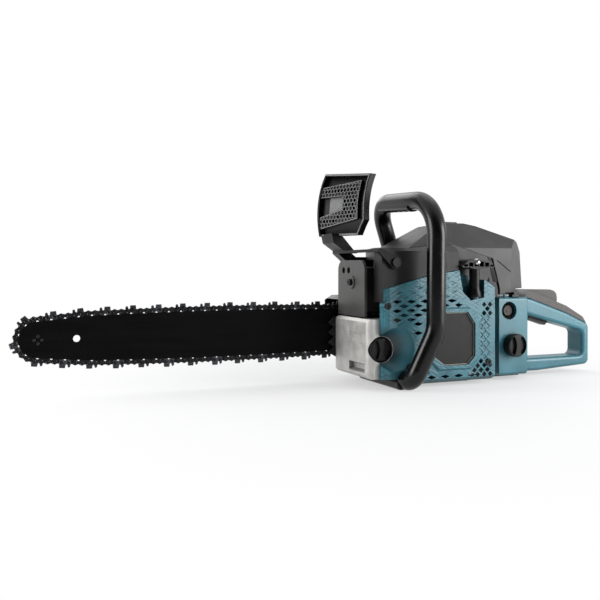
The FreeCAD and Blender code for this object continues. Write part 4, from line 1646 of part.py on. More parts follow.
def guard_shell(low, high, inset):
    """The curved shell between two radii within the guard's outline, before it is turned."""
    s = size
    long = math.hypot(s.guard_left_x - s.guard_right_x, s.guard_left_y - s.guard_right_y)
    outline = [(0, s.guard_low_z), (long - s.guard_corner_x, s.guard_low_z),
               (long, s.guard_low_z + s.guard_corner_z), (long, s.guard_high_z - s.guard_slope),
               (0, s.guard_high_z)]
    block = prism("YZ", outline, -s.guard_bulge, s.guard_bulge, inset)
    middle = Vector(-s.guard_bulge, -s.overrun, s.guard_bulge_z)
    ring_long = long + 2 * s.overrun
    outer = Part.makeCylinder(high, ring_long, middle, ACROSS)
    inner = Part.makeCylinder(low, ring_long, middle, ACROSS)
    return block.common(outer.cut(inner))


def honeycomb(low, high):
    """A field of cell walls between two radii, round the tapered recess in its middle."""
    s = size
    long = math.hypot(s.guard_left_x - s.guard_right_x, s.guard_left_y - s.guard_right_y)
    tall = s.guard_high_z - s.guard_low_z
    field = [(across * long, s.guard_low_z + up * tall) for across, up in
             ((0.03, 0.12), (0.83, 0.25), (0.83, 0.82), (0.03, 0.76))]
    recess = [(across * long, s.guard_low_z + up * tall) for across, up in
              ((-0.05, 0.27), (0.52, 0.40), (0.52, 0.61), (-0.05, 0.61))]
    block = prism("YZ", field, -s.guard_bulge, s.guard_bulge)
    block = block.cut(prism("YZ", recess, -s.guard_bulge, s.guard_bulge))
    middle = Vector(-s.guard_bulge, -s.overrun, s.guard_bulge_z)
    ring_long = long + 2 * s.overrun
    block = block.common(Part.makeCylinder(high, ring_long, middle, ACROSS).cut(
        Part.makeCylinder(low, ring_long, middle, ACROSS)))
    rim_field = wire_on("YZ", field, 0).makeOffset2D(-s.cell_wall, 2)
    rim = [(vertex.Y, vertex.Z) for vertex in rim_field.OrderedVertexes]
    rim_recess = wire_on("YZ", recess, 0).makeOffset2D(s.cell_wall, 2)
    hollow_rim = [(vertex.Y, vertex.Z) for vertex in rim_recess.OrderedVertexes]
    cells = []
    radius = s.cell_size / math.sqrt(3)
    for row in range(int(tall / (1.5 * radius)) + 1):
        up = s.guard_low_z + row * (s.cell_size + s.cell_wall) * math.sqrt(3) / 2
        for column in range(int(long / s.cell_size) + 1):
            across = (column + (row % 2) / 2) * (s.cell_size + s.cell_wall)
            if not inside((across, up), rim) or inside((across, up), hollow_rim):
                continue
            corners = [(across + radius * math.sin(math.radians(60 * k)),
                        up + radius * math.cos(math.radians(60 * k))) for k in range(6)]
            if all(inside(c, rim) for c in corners) and not any(
                    inside(c, hollow_rim) for c in corners):
                cells.append(prism("YZ", corners, -s.guard_bulge, s.guard_bulge))
    return block.cut(cells)


def hand_guard():
    """The front guard: a curved tray, its neck and arm, and two lugs on the pivot pins."""
    s = size
    front = s.guard_bulge
    back = front - s.guard_deep
    tray = guard_shell(back, front, 0).cut(
        guard_shell(back + s.guard_wall, front + s.overrun, s.guard_rim))
    tray = tray.fuse(honeycomb(back + s.guard_wall / 2, back + s.guard_wall + s.cell_deep))
    lean = math.degrees(math.atan2(s.guard_right_x - s.guard_left_x,
                                   s.guard_left_y - s.guard_right_y))
    tray.Placement = FreeCAD.Placement(Vector(s.guard_right_x, s.guard_right_y, 0),
                                       Rotation(Vector(0, 0, 1), lean))
    arm_x = s.shroud_front_x + s.free_gap
    arm_high = s.guard_arm_z + s.guard_arm_high / 2
    arm_low = arm_high - s.guard_arm_high
    thick = s.guard_neck_thick
    base_x = s.guard_right_x - s.guard_deep
    neck_top = s.guard_low_z + s.guard_rim
    neck = [(base_x - thick, neck_top), (base_x + thick * 0.4, neck_top),
            (base_x + thick * 0.1, s.guard_low_z - thick), (arm_x + s.guard_arm_deep, arm_high),
            (arm_x + s.guard_arm_deep, arm_low), (s.guard_x, s.guard_z - s.guard_lug_radius),
            (s.guard_x - thick / 3, s.guard_z + s.guard_lug_radius * 0.9),
            (arm_x - thick, arm_high)]
    right_low = s.guard_right_y
    lug_right = s.shroud_right_y - s.part_gap
    wide = prism("XZ", neck, right_low, right_low + s.guard_neck_wide)
    low_cut = Part.makeBox(2 * s.guard_x, s.guard_neck_wide * 2, arm_low, Vector(0, lug_right, 0))
    wide = wide.cut(low_cut)
    arm = Part.makeBox(s.guard_arm_deep, s.shroud_left_y + s.free_gap + s.guard_lug_thick
                       - right_low, s.guard_arm_high, Vector(arm_x, right_low, arm_low))
    left_y = s.shroud_left_y + s.free_gap
    side = [(arm_x + s.guard_arm_deep, arm_high), (arm_x + s.guard_arm_deep, arm_low),
            (s.guard_x + s.guard_lug_radius * 0.5, s.guard_z - s.guard_lug_radius * 0.8),
            (s.guard_x - s.guard_lug_radius * 0.5, s.guard_z + s.guard_lug_radius * 0.8),
            (arm_x, arm_high)]
    left = prism("XZ", side, left_y, left_y + s.guard_lug_thick)
    lugs = [Part.makeCylinder(s.guard_lug_radius, thick_y, Vector(s.guard_x, low_y, s.guard_z),
                              ACROSS)
            for low_y, thick_y in ((right_low, lug_right - right_low),
                                   (left_y, s.guard_lug_thick))]
    whole = tray.fuse([wide, arm, left] + lugs)
    bore = Part.makeCylinder(s.guard_pin_radius + s.shaft_gap, 3 * s.shroud_left_y, Vector(
        s.guard_x, s.shroud_right_y * 2, s.guard_z), ACROSS)
    keep(solid("hand_guard", whole.cut(bore)), "hand_guard")
    pins = []
    for sign, wall_y, far_y in ((-1, s.shroud_right_y, right_low),
                                (1, s.shroud_left_y, left_y + s.guard_lug_thick)):
        inner = wall_y - sign * s.shroud_wall
        end = far_y + sign * s.part_gap
        shank = Part.makeCylinder(s.guard_pin_radius, abs(end - inner), Vector(
            s.guard_x, min(inner, end), s.guard_z), ACROSS)
        head = Part.makeCylinder(s.guard_pin_radius * 1.6, s.guard_pin_head, Vector(
            s.guard_x, min(end, end + sign * s.guard_pin_head), s.guard_z), ACROSS)
        pins.append(shank.fuse(head).removeSplitter())
    return [solid("guard_bolts", Part.makeCompound(pins))]


for build in (crankcase, crank_train, cylinder_and_plug, flywheel_side, starter_housing,
              recoil_grip, guide_bar, chain, clutch, clutch_cover, muffler, shroud, hood, intake,
              tank_and_handle, front_handle, small_controls):
    build()
group("pivot_pins", handle_parts() + hand_guard())
screw_cap("fuel_cap", "fuel_cap_x", "fuel_cap_z", "tank_left_y")
screw_cap("oil_cap", "oil_cap_x", "oil_cap_z", "(oil_left_y - oil_cap_sink)")

doc.recompute()
faults = [made.Name for made in doc.Objects if {"Invalid", "Error"} & set(made.State)]
faults += [made.Label for made in SUBPARTS
           if made.Shape.isNull() or not made.Shape.isValid() or not made.Shape.Solids]
if faults:
    raise RuntimeError(f"these did not build: {faults}")
os.makedirs("parts", exist_ok=True)
for made in SUBPARTS:
    made.Shape.exportStep(f"parts/{made.Label}.step")
    print(f"{made.Label}: {len(made.Shape.Solids)} solids, {made.Shape.Volume / 1000:.1f} cm3")
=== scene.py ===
import json
import math

import bmesh
import bpy
from mathutils import Matrix, Vector


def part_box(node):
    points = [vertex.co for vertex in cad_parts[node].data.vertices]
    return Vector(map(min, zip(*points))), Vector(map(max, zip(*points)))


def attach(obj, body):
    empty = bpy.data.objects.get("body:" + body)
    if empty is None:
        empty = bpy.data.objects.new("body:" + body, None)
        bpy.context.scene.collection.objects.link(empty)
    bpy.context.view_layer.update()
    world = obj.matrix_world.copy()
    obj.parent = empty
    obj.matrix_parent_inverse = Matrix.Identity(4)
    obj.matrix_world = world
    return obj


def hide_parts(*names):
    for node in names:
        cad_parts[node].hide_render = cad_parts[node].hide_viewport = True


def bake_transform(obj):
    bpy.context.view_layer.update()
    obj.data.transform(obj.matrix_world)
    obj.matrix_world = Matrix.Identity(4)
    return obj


# Petrol chainsaw: the finish of every part and the shapes that its mouldings have.
# +X is to the bar's tip, +Y to the operator's left, +Z up. Lengths are in metres, but outlines,
# profiles and the values that a comment calls millimetres are in millimetres.

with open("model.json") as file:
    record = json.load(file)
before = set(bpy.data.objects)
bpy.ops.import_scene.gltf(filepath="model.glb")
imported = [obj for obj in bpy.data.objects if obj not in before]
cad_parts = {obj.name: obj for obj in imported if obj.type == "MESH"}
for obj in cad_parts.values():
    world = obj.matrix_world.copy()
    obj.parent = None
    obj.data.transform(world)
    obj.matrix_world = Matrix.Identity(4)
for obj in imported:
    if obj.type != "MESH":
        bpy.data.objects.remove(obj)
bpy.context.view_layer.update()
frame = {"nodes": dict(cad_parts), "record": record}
nodes = frame["nodes"]
MM = 0.001


def linear(hex_colour):
    """An sRGB hex colour as the linear values that a shader takes."""
    parts = [int(hex_colour[i:i + 2], 16) / 255 for i in (1, 3, 5)]
    return [p / 12.92 if p <= 0.04045 else ((p + 0.055) / 1.055) ** 2.4 for p in parts] + [1]


def toned(colour, share):
    """A linear colour made darker or paler by a share, but no paler than white."""
    return [min(1, part * share) for part in colour[:3]] + [1]


def add(tree, kind, settings, links=()):
    """Adds a shader node, sets its fields and sockets, and links its inputs."""
    node = tree.nodes.new("ShaderNode" + kind)
    for name, value in settings.items():
        if isinstance(name, str) and hasattr(node, name):
            setattr(node, name, value)
        else:
            node.inputs[name].default_value = value
    for name, output in dict(links).items():
        tree.links.new(output, node.inputs[name])
    return node


def reach_from(tree, place, middle):
    """How far a point lies from a middle when both are seen along Y."""
    flat = add(tree, "VectorMath", {"operation": "MULTIPLY", 1: (1, 0, 1)}, {0: place})
    reach = add(tree, "VectorMath", {"operation": "DISTANCE", 1: middle}, {0: flat.outputs[0]})
    return reach.outputs["Value"]


# The moulded net: the pitch of its lattice along X and Z, where a groove's side starts and ends
# as shares of the pitch, the size of its patches, and the noise from which a patch is kept
NET_PITCH_X, NET_PITCH_Z = 10.8 * MM, 6.1 * MM
GROOVE_FLOOR_SHARE, GROOVE_RIM_SHARE = 0.02, 0.17
NET_PATCH = 11 * MM
PATCH_FROM, PATCH_FULL = 0.5, 0.56
# The smooth bowl round the oil cap: its middle, and the radii between which the net starts
BOWL_MIDDLE = (0.079, 0, 0.0535)
BOWL_RADIUS, NET_RADIUS = 0.031, 0.033


def moulded_net(tree, place):
    """Short grooves along a lattice of slanted lines in X and Z, kept in patches."""
    spots = add(tree, "SeparateXYZ", {}, {"Vector": place})
    across = add(tree, "Math", {"operation": "DIVIDE", 1: NET_PITCH_X}, {0: spots.outputs["X"]})
    up = add(tree, "Math", {"operation": "DIVIDE", 1: NET_PITCH_Z}, {0: spots.outputs["Z"]})
    lines = []
    for seed, slope in enumerate(("ADD", "SUBTRACT")):
        slant = add(tree, "Math", {"operation": slope}, {0: across.outputs[0], 1: up.outputs[0]})
        wave = add(tree, "Math", {"operation": "PINGPONG", 1: 0.5}, {0: slant.outputs[0]})
        near = add(tree, "MapRange", {"From Min": GROOVE_FLOOR_SHARE,
                                      "From Max": GROOVE_RIM_SHARE, "To Min": 1, "To Max": 0},
                   {"Value": wave.outputs[0]})
        patch = add(tree, "TexNoise", {"noise_dimensions": "4D", "W": seed, "Detail": 1,
                                       "Scale": 1 / NET_PATCH}, {"Vector": place})
        kept = add(tree, "MapRange", {"From Min": PATCH_FROM, "From Max": PATCH_FULL},
                   {"Value": patch.outputs["Fac"]})
        lines.append(add(tree, "Math", {"operation": "MULTIPLY"},
                         {0: near.outputs[0], 1: kept.outputs[0]}).outputs[0])
    both = add(tree, "Math", {"operation": "MAXIMUM"}, {0: lines[0], 1: lines[1]})
    outside = add(tree, "MapRange", {"From Min": BOWL_RADIUS, "From Max": NET_RADIUS},
                  {"Value": reach_from(tree, place, BOWL_MIDDLE)})
    return add(tree, "Math", {"operation": "MULTIPLY"},
               {0: both.outputs[0], 1: outside.outputs[0]}).outputs[0]


# The sockets of a Mix node that take and give its colours
FIRST, SECOND, MIXED = 6, 7, 2
# The noise between which a finish drifts from its dark to its pale tone, and in gloss
TONE_LOW, TONE_HIGH = 0.35, 0.65
GLOSS_LOW, GLOSS_HIGH = 0.3, 0.7
# How far the rounded and the flat normal agree where an edge starts to be paler, and where it is
# fully so; the pale edge is partly wear, partly painted highlight
EDGE_FROM, EDGE_FULL = 0.99, 0.75
# Painted shade: a groove of the net is darkened to this share of the tone beside it
GROOVE_SHADE_SHARE = 0.55
# Painted shade darkens the bowl round the oil cap towards the cap: middle, radii and tone share
BOWL_SHADE_MIDDLE = (0.09, 0, 0.056)
BOWL_SHADE_RADIUS, BOWL_UNSHADED_RADIUS = 0.016, 0.034
BOWL_SHADE_SHARE = 0.22
# Painted shade in hollows: how far off a wall counts, the openness from dark to clear, and tone
# share
HOLLOW_REACH = 22 * MM
HOLLOW_DARK, HOLLOW_CLEAR = 0.15, 0.8
HOLLOW_SHADE_SHARE = 0.25


def surface(name, colour, rough, metal=0.0, grain=(1.2, 0.03), cloud=(28, 0.06, 0.12),
            edge=(0.7, 1.25), stretch=(1, 1, 1), sheen=0.5, relief=None):
    """A solid finish: grain in the surface, slow drifts of tone and gloss, and softened edges.

    grain is its size and height, cloud its size, gloss drift and tone drift, edge the rounding
    and how much paler an edge is, partly as wear and partly as painted highlight, and relief
    the depth of a moulded net of fine grooves, darkened with painted shade like the bowl round
    the oil cap; sizes are in millimetres. Hollows get painted shade as well. Real grain is
    finer:
    it is drawn about a millimetre wide so that it shows. sheen is how much a plain view
    reflects.
    """
    made = bpy.data.materials.new(name)
    made.use_nodes = True
    tree = made.node_tree
    tree.nodes.clear()
    place = add(tree, "TexCoord", {})
    spread = add(tree, "Mapping", {"Scale": stretch}, {"Vector": place.outputs["Object"]})
    drift = add(tree, "TexNoise", {"Scale": 1 / (cloud[0] * MM), "Detail": 3},
                {"Vector": spread.outputs[0]})
    fine = add(tree, "TexNoise", {"Scale": 1 / (grain[0] * MM), "Detail": 2},
               {"Vector": spread.outputs[0]})
    base = linear(colour)
    tone = add(tree, "ValToRGB", {}, {"Fac": drift.outputs["Fac"]})
    dark, pale = tone.color_ramp.elements
    dark.position, pale.position = TONE_LOW, TONE_HIGH
    dark.color, pale.color = toned(base, 1 - cloud[2]), toned(base, 1 + cloud[2])
    gloss = add(tree, "MapRange", {"From Min": GLOSS_LOW, "From Max": GLOSS_HIGH,
                                   "To Min": rough - cloud[1], "To Max": rough + cloud[1]},
                {"Value": drift.outputs["Fac"]})
    rounded = add(tree, "Bevel", {"samples": 6, "Radius": edge[0] * MM})
    flat = add(tree, "NewGeometry", {})
    turn = add(tree, "VectorMath", {"operation": "DOT_PRODUCT"},
               {0: rounded.outputs[0], 1: flat.outputs["Normal"]})
    # Edges are painted paler: partly wear, partly painted highlight
    pale_edge_wear_and_highlight = add(tree, "MapRange", {"From Min": EDGE_FROM, "From Max": EDGE_FULL},
                  {"Value": turn.outputs["Value"]})
    shade = add(tree, "Mix", {"data_type": "RGBA", SECOND: toned(base, edge[1])},
                {0: pale_edge_wear_and_highlight.outputs[0], FIRST: tone.outputs[0]})
    bump = add(tree, "Bump", {"Strength": 1.0, "Distance": grain[1] * MM},
               {"Height": fine.outputs["Fac"], "Normal": rounded.outputs[0]})
    if relief:
        cut = moulded_net(tree, place.outputs["Object"])
        # Painted shade in the net's grooves, on top of the dent that the bump gives them
        shade = add(tree, "Mix", {"data_type": "RGBA", SECOND: toned(base, GROOVE_SHADE_SHARE)},
                    {0: cut, FIRST: shade.outputs[MIXED]})
        # Painted shade: the bowl round the oil cap is darkened towards the cap
        bowl_shade = add(tree, "MapRange",
                    {"interpolation_type": "SMOOTHSTEP", "From Min": BOWL_SHADE_RADIUS,
                     "From Max": BOWL_UNSHADED_RADIUS, "To Min": BOWL_SHADE_SHARE, "To Max": 1.0},
                    {"Value": reach_from(tree, place.outputs["Object"], BOWL_SHADE_MIDDLE)})
        shade = add(tree, "Mix", {"data_type": "RGBA", "blend_type": "MULTIPLY", 0: 1.0},
                    {FIRST: shade.outputs[MIXED], SECOND: bowl_shade.outputs[0]})
        bump = add(tree, "Bump", {"Strength": 1.0, "Distance": relief * MM, "invert": True},
                   {"Height": cut, "Normal": bump.outputs[0]})
    # Painted shade: hollows and corners are darkened by how closed in they are
    hollow = add(tree, "AmbientOcclusion", {"samples": 8, "Distance": HOLLOW_REACH})
    depth = add(tree, "MapRange", {"From Min": HOLLOW_DARK, "From Max": HOLLOW_CLEAR,
                                   "To Min": HOLLOW_SHADE_SHARE, "To Max": 1},
                {"Value": hollow.outputs["AO"]})
    shade = add(tree, "Mix", {"data_type": "RGBA", "blend_type": "MULTIPLY", 0: 1.0},
                {FIRST: shade.outputs[MIXED], SECOND: depth.outputs[0]})
    shader = add(tree, "BsdfPrincipled", {"Metallic": metal, "Specular IOR Level": sheen},
                 {"Base Color": shade.outputs[MIXED], "Roughness": gloss.outputs[0],
                  "Normal": bump.outputs[0]})
    add(tree, "OutputMaterial", {}, {"Surface": shader.outputs[0]})
    return made


# Glass-filled nylon in teal: an even colour with a fine spark-eroded grain
teal_nylon = surface("teal_glass_filled_nylon", "#316D7A", 0.38, grain=(1.5, 0.035),
                     edge=(0.9, 1.6), sheen=0.6)
# The starter housing's skin carries a moulded net of shallow grooves between its vents;
# its grooves and the bowl round the oil cap are darkened with painted shade
netted_nylon = surface("teal_nylon_with_moulded_net", "#316D7A", 0.38, grain=(1.5, 0.035),
                       edge=(0.9, 1.6), sheen=0.6, relief=0.25)
# Black nylon of the cylinder and clutch covers: satin, near black
black_nylon = surface("black_glass_filled_nylon", "#0D0D0E", 0.4, grain=(1.6, 0.04),
                      edge=(0.8, 3.0), sheen=0.3)
# The filter cover's charcoal ABS is paler and flatter than the black beside it
charcoal_abs = surface("charcoal_moulded_abs", "#3C3A3A", 0.45, grain=(1.6, 0.04), sheen=0.35)
# Moulded polyamide in a warm grey: matt and even
grey_polyamide = surface("warm_grey_moulded_polyamide", "#524E4D", 0.5, sheen=0.3)
# The guard is black; the grey of its ribs and its honeycomb's front is painted highlight on
# their edges
guard_nylon = surface("hand_guard_black_nylon", "#0A0A0B", 0.42, edge=(0.8, 3.0), sheen=0.2)
grey_web_highlight = surface("grey_honeycomb_highlight", "#6A6A6A", 0.5, edge=(0.3, 1.3), sheen=0.3)
grey_rib_highlight_and_panel = surface("grey_rib_highlight_and_panel_nylon", "#7D7D7D", 0.5, edge=(0.3, 1.2), sheen=0.3)
# The pull grip's black nylon is paler on the thin walls between its cells: partly wear, partly
# painted highlight
grip_nylon = surface("pull_grip_black_nylon", "#0B0A0A", 0.38, edge=(1.2, 60.0), sheen=0.25)
# Nitrile foam sleeve: black satin skin that shows long soft highlights
grip_rubber = surface("nitrile_grip_sleeve", "#040404", 0.24, grain=(2.2, 0.04), sheen=0.34)
# Moulded rubber of the seals and buffers: black and dull
soft_rubber = surface("moulded_black_rubber", "#131212", 0.6, sheen=0.25)
# The side buffer's plug is a dull grey-brown rubber
buffer_core = surface("grey_brown_buffer_core", "#4A4340", 0.6, sheen=0.3)
# Die-cast magnesium: pale warm silver with a faint cast grain and cloudy gloss
cast_magnesium = surface("die_cast_magnesium", "#C6C4C0", 0.48, metal=0.45, grain=(2.0, 0.14),
                         cloud=(14, 0.08, 0.12), edge=(1.2, 1.12))
# Turned and milled aluminium: pale, with a soft shine
machined_aluminium = surface("machined_aluminium", "#A9ABAD", 0.32, metal=1.0)
# Ground steel of shafts and bearings: smooth, a little darker than the aluminium
ground_steel = surface("ground_steel", "#8C8E91", 0.3, metal=1.0, grain=(0.8, 0.01))
# Oiled chain steel, blued to near black, greyer on its worn edges
chain_steel = surface("oiled_blued_chain_steel", "#2B2B2D", 0.36, metal=0.9, grain=(0.7, 0.02),
                      edge=(0.3, 2.4))
# Dark chrome on the cutters: smoother than the links, with pale ground edges
cutter_steel = surface("dark_chromed_cutter_steel", "#4B4D50", 0.3, metal=1.0,
                       grain=(0.7, 0.01), edge=(0.3, 2.2))
# Black lacquer on the bar with long faint scuffs from the chain's side
bar_lacquer = surface("black_bar_lacquer", "#0A0A0B", 0.5, grain=(1.0, 0.012),
                      stretch=(0.12, 1, 1), cloud=(9, 0.08, 0.25), edge=(0.4, 3.0), sheen=0.06)
# Heat-proof paint on the muffler's shield: mid grey, rubbed paler at its bends
grey_heat_paint = surface("grey_heat_proof_paint", "#4B4A49", 0.45, metal=0.4,
                          grain=(1.6, 0.04), edge=(0.9, 1.7))
# Stove enamel: an even black with a soft gloss
black_paint = surface("black_stove_enamel", "#111112", 0.4, sheen=0.3)
# Pressed steel that is blackened: dull, with little shine of metal
toned_steel = surface("blackened_pressed_steel", "#2A2826", 0.45, metal=0.6)
# Bright zinc plate: a cool, sharp shine
zinc_plate = surface("bright_zinc_plate", "#C4C6C9", 0.24, metal=1.0, grain=(0.8, 0.01))
# Phosphated screws: dull black, worn paler round the head
black_screw = surface("black_phosphated_screw", "#1B1B1D", 0.4, metal=0.5, edge=(0.4, 3.0))
# The label plate: dark grey nylon with small clouds of tone
label_nylon = surface("dark_grey_label_plate", "#191817", 0.55, grain=(1.4, 0.03),
                      cloud=(7, 0.07, 0.2), edge=(0.5, 1.8), sheen=0.3)
# Painted shade: a near-black finish for flat marks where creases, pockets and vents are, as dark
# as a deep pocket in shade
painted_pocket_shade = surface("painted_vent_shade", "#081416", 0.7, sheen=0.1)
# The plate's rim is a thin warm grey line
plate_edge = surface("pale_plate_rim", "#A09688", 0.5)
# Braided nylon cord: off-white and dull, with its braid drawn as a coarse grain
braided_cord = surface("braided_starter_cord", "#D8D6CE", 0.8, grain=(1.0, 0.15))
# Flocked fleece of the air filter: cream and quite without shine
filter_fleece = surface("flocked_filter_fleece", "#CFC8B4", 0.9, grain=(0.8, 0.2))
# Sintered iron of the clutch shoes: dull mid grey
friction_iron = surface("sintered_clutch_iron", "#4C4A48", 0.5, metal=0.8)

FINISHES = {
    "case_metal": cast_magnesium, "machined_metal": machined_aluminium,
    "shaft_steel": ground_steel, "bearing_steel": ground_steel, "chain_steel": chain_steel,
    "cutter_steel": cutter_steel, "bar_paint": bar_lacquer, "black_paint": black_paint,
    "shield_metal": grey_heat_paint, "muffler_metal": toned_steel, "teal_plastic": teal_nylon,
    "black_plastic": black_nylon, "grey_plastic": grey_polyamide, "dark_plastic": charcoal_abs,
    "grip_rubber": grip_rubber, "seal_rubber": soft_rubber, "bright_screw": zinc_plate,
    "rope_cord": braided_cord, "filter_felt": filter_fleece, "friction_lining": friction_iron,
}
# The flywheel's blackened steel is painted shade: it sits in shade behind the vents
OWN_FINISHES = {
    "hand_guard": guard_nylon, "label_plate": label_nylon, "starter_housing": netted_nylon,
    "cover_screws": black_screw, "flywheel": toned_steel, "pivot_pins": black_nylon,
    "starter_grip": grip_nylon,
}

slot_of = {row["node"]: row["material_slot"] for row in frame["record"]["subparts"]}
for name, node in nodes.items():
    node.data.materials.clear()
    node.data.materials.append(OWN_FINISHES.get(name) or FINISHES[slot_of[name]])

# Points nearer than this, in millimetres, are one, and edges that turn less are shaded smooth
WELD = 0.001
SMOOTH_BELOW = math.radians(35)


def placed(name, data):
    """A new object of the scene at the origin."""
    held = bpy.data.objects.new(name, data)
    bpy.context.scene.collection.objects.link(held)
    return held


def finished(name, mesh, finish, body):
    """Closes a modelled mesh into a piece that has one finish and rides on a body, if any."""
    bmesh.ops.recalc_face_normals(mesh, faces=mesh.faces)
    for face in mesh.faces:
        face.smooth = True
    for edge in mesh.edges:
        edge.smooth = edge.calc_face_angle(math.pi) < SMOOTH_BELOW
    data = bpy.data.meshes.new(name)
    mesh.to_mesh(data)
    mesh.free()
    data.materials.append(finish)
    piece = placed(name, data)
    if body:
        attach(piece, body)
    return piece


def raised(mesh, move):
    """Extrudes every face of a flat mesh by a move."""
    grown = bmesh.ops.extrude_face_region(mesh, geom=mesh.faces[:])
    moved = [part for part in grown["geom"] if isinstance(part, bmesh.types.BMVert)]
    bmesh.ops.translate(mesh, verts=moved, vec=move)


def softened(mesh, soft):
    """Rounds every edge of a mesh by a size in millimetres."""
    bmesh.ops.bevel(mesh, geom=mesh.edges[:], offset=soft * MM, affect="EDGES", segments=2,
                    profile=0.5, material=-1)


def lathe(profile, spot, steps=40):
    """A mesh turned about +Y from (radius, height) pairs in millimetres, set at a spot."""
    mesh = bmesh.new()
    line = [mesh.verts.new((radius * MM, 0, high * MM)) for radius, high in profile]
    edges = [mesh.edges.new(pair) for pair in zip(line, line[1:])]
    bmesh.ops.spin(mesh, geom=line + edges, cent=(0, 0, 0), axis=(0, 0, 1), dvec=(0, 0, 0),
                   angle=math.tau, steps=steps, use_merge=True)
    bmesh.ops.remove_doubles(mesh, verts=mesh.verts, dist=WELD * MM)
    bmesh.ops.rotate(mesh, verts=mesh.verts, cent=(0, 0, 0),
                     matrix=Matrix.Rotation(-math.pi / 2, 3, "X"))
    bmesh.ops.translate(mesh, verts=mesh.verts, vec=Vector(spot))
    return mesh


def slab(outline, low, high, soft=0.4):
    """A mesh of an outline of (x, z) pairs in millimetres, between two y, with soft edges."""
    mesh = bmesh.new()
    mesh.faces.new([mesh.verts.new((across * MM, low * MM, up * MM)) for across, up in outline])
    raised(mesh, (0, (high - low) * MM, 0))
    bmesh.ops.recalc_face_normals(mesh, faces=mesh.faces)
    softened(mesh, soft)
    return mesh


# The rivet heads: their number, the radius of their ring and their profile, in millimetres
RIVETS, RIVET_STEPS = 4, 20
RIVET_RING = 4.5
RIVET_PROFILE = ((0, 0.5), (1.4, 0.45), (2.1, 0.15), (2.2, -0.4), (0, -0.4))


def nose_rivets():
    """Four rivet heads that hold the sprocket in the bar's nose."""
    low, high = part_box("nose_sprocket")
    middle = (low + high) / 2
    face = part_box("guide_bar")[1].y
    for count in range(RIVETS):
        turn = math.tau * count / RIVETS
        spot = (middle.x + RIVET_RING * MM * math.cos(turn), face,
                middle.z + RIVET_RING * MM * math.sin(turn))
        head = lathe(RIVET_PROFILE, spot, RIVET_STEPS)
        finished(f"nose_rivet_{count + 1}", head, toned_steel, "root")


# The cord's radius in millimetres; its sides, and the cuts along it
CORD_RADIUS = 1.9
CORD_SIDES, CORD_CUTS = 16, 30


def starter_cord():
    """The cord from the housing's eye up into the pull grip."""
    low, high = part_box("starter_rope")
    middle = (low + high) / 2
    mesh = bmesh.new()
    bmesh.ops.create_cone(mesh, cap_ends=True, segments=CORD_SIDES, radius1=CORD_RADIUS * MM,
                          radius2=CORD_RADIUS * MM, depth=high.z - low.z)
    sides = [edge for edge in mesh.edges if abs(edge.verts[0].co.z - edge.verts[1].co.z) > MM]
    bmesh.ops.subdivide_edges(mesh, edges=sides, cuts=CORD_CUTS, use_grid_fill=True)
    bmesh.ops.translate(mesh, verts=mesh.verts, vec=middle)
    cord = finished("starter_cord", mesh, braided_cord, None)
    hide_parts("starter_rope")
    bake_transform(cord)


# The side buffer's plug: its middle, how far it sits below the tank's skin, and its profile, in
# millimetres
PLUG_X, PLUG_Z = -115, 101
PLUG_SUNK = 4.1
PLUG_PROFILE = ((0, 0.9), (2.0, 0.9), (2.6, 0.3), (5.2, 0.3), (5.6, 0.8), (7.0, 0.8),
                (7.5, 0.2), (7.5, -0.6), (0, -0.6))


def buffer_cap():
    """The grey-brown plug in the middle of the side buffer."""
    spot = (PLUG_X * MM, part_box("tank_handle")[1].y - PLUG_SUNK * MM, PLUG_Z * MM)
    finished("buffer_cap", lathe(PLUG_PROFILE, spot), buffer_core, "root")


# The lip's width and height in millimetres, and the turn below which two faces count as one
LIP_WIDE, LIP_HIGH = 1.2, 0.3
FLAT_BELOW = math.radians(2)


def plate_lip():
    """The thin pale lip round the octagonal plate."""
    mesh = bmesh.new()
    mesh.from_mesh(nodes["label_plate"].data)
    bmesh.ops.remove_doubles(mesh, verts=mesh.verts, dist=WELD * MM)
    bmesh.ops.dissolve_limit(mesh, angle_limit=FLAT_BELOW, verts=mesh.verts, edges=mesh.edges)
    front = max(mesh.faces, key=lambda face: face.normal.y * face.calc_area())
    rest = [face for face in mesh.faces if face is not front]
    bmesh.ops.delete(mesh, geom=rest, context="FACES")
    bmesh.ops.inset_region(mesh, faces=mesh.faces[:], thickness=LIP_WIDE * MM,
                           use_boundary=True)
    inner = max(mesh.faces, key=lambda face: face.calc_area())
    bmesh.ops.delete(mesh, geom=[inner], context="FACES_ONLY")
    bmesh.ops.solidify(mesh, geom=mesh.faces[:], thickness=-LIP_HIGH * MM)
    bmesh.ops.translate(mesh, verts=mesh.verts, vec=(0, LIP_HIGH * MM, 0))
    finished("plate_lip", mesh, plate_edge, "root")


# Small flat mouldings, in millimetres: outlines of (x, z) pairs, and the y between which the
# ones of the tank and the ridge lie
TAB_OUTLINE = ((-124, 119.6), (-112, 119.6), (-112, 124.5), (-115, 124.5))
TAB_NEAR, TAB_FAR = 51.5, 54.5
SEAL_OUTLINE = ((-92.5, 176.5), (-85.5, 179), (-95.5, 142.5), (-103.5, 142.5))
PAD_OUTLINE = ((-57, 226), (-22, 226), (-24, 230.2), (-55.5, 230.2))
PAD_NEAR, PAD_FAR = -12, 18
# The crease and the pocket are flat dark marks of painted shade, not mouldings
CREASE_OUTLINE = ((-103.4, 174.4), (-104.6, 173.2), (-127.4, 156.6), (-127.4, 157.9))
POCKET_OUTLINE = ((-89.8, 143.2), (-85.2, 143.2), (-87.6, 150))
NECK_OUTLINE = ((-168.4, 119.8), (-147, 119.8), (-147, 131.2), (-168.4, 130.6))
NECK_NEAR, NECK_FAR = 20, 34.2
# How deep the hood's marks and its seal are set into its side, and how far they stand out of it
SET_IN = 0.6
SEAL_HIGH, MARK_HIGH = 0.25, 0.12
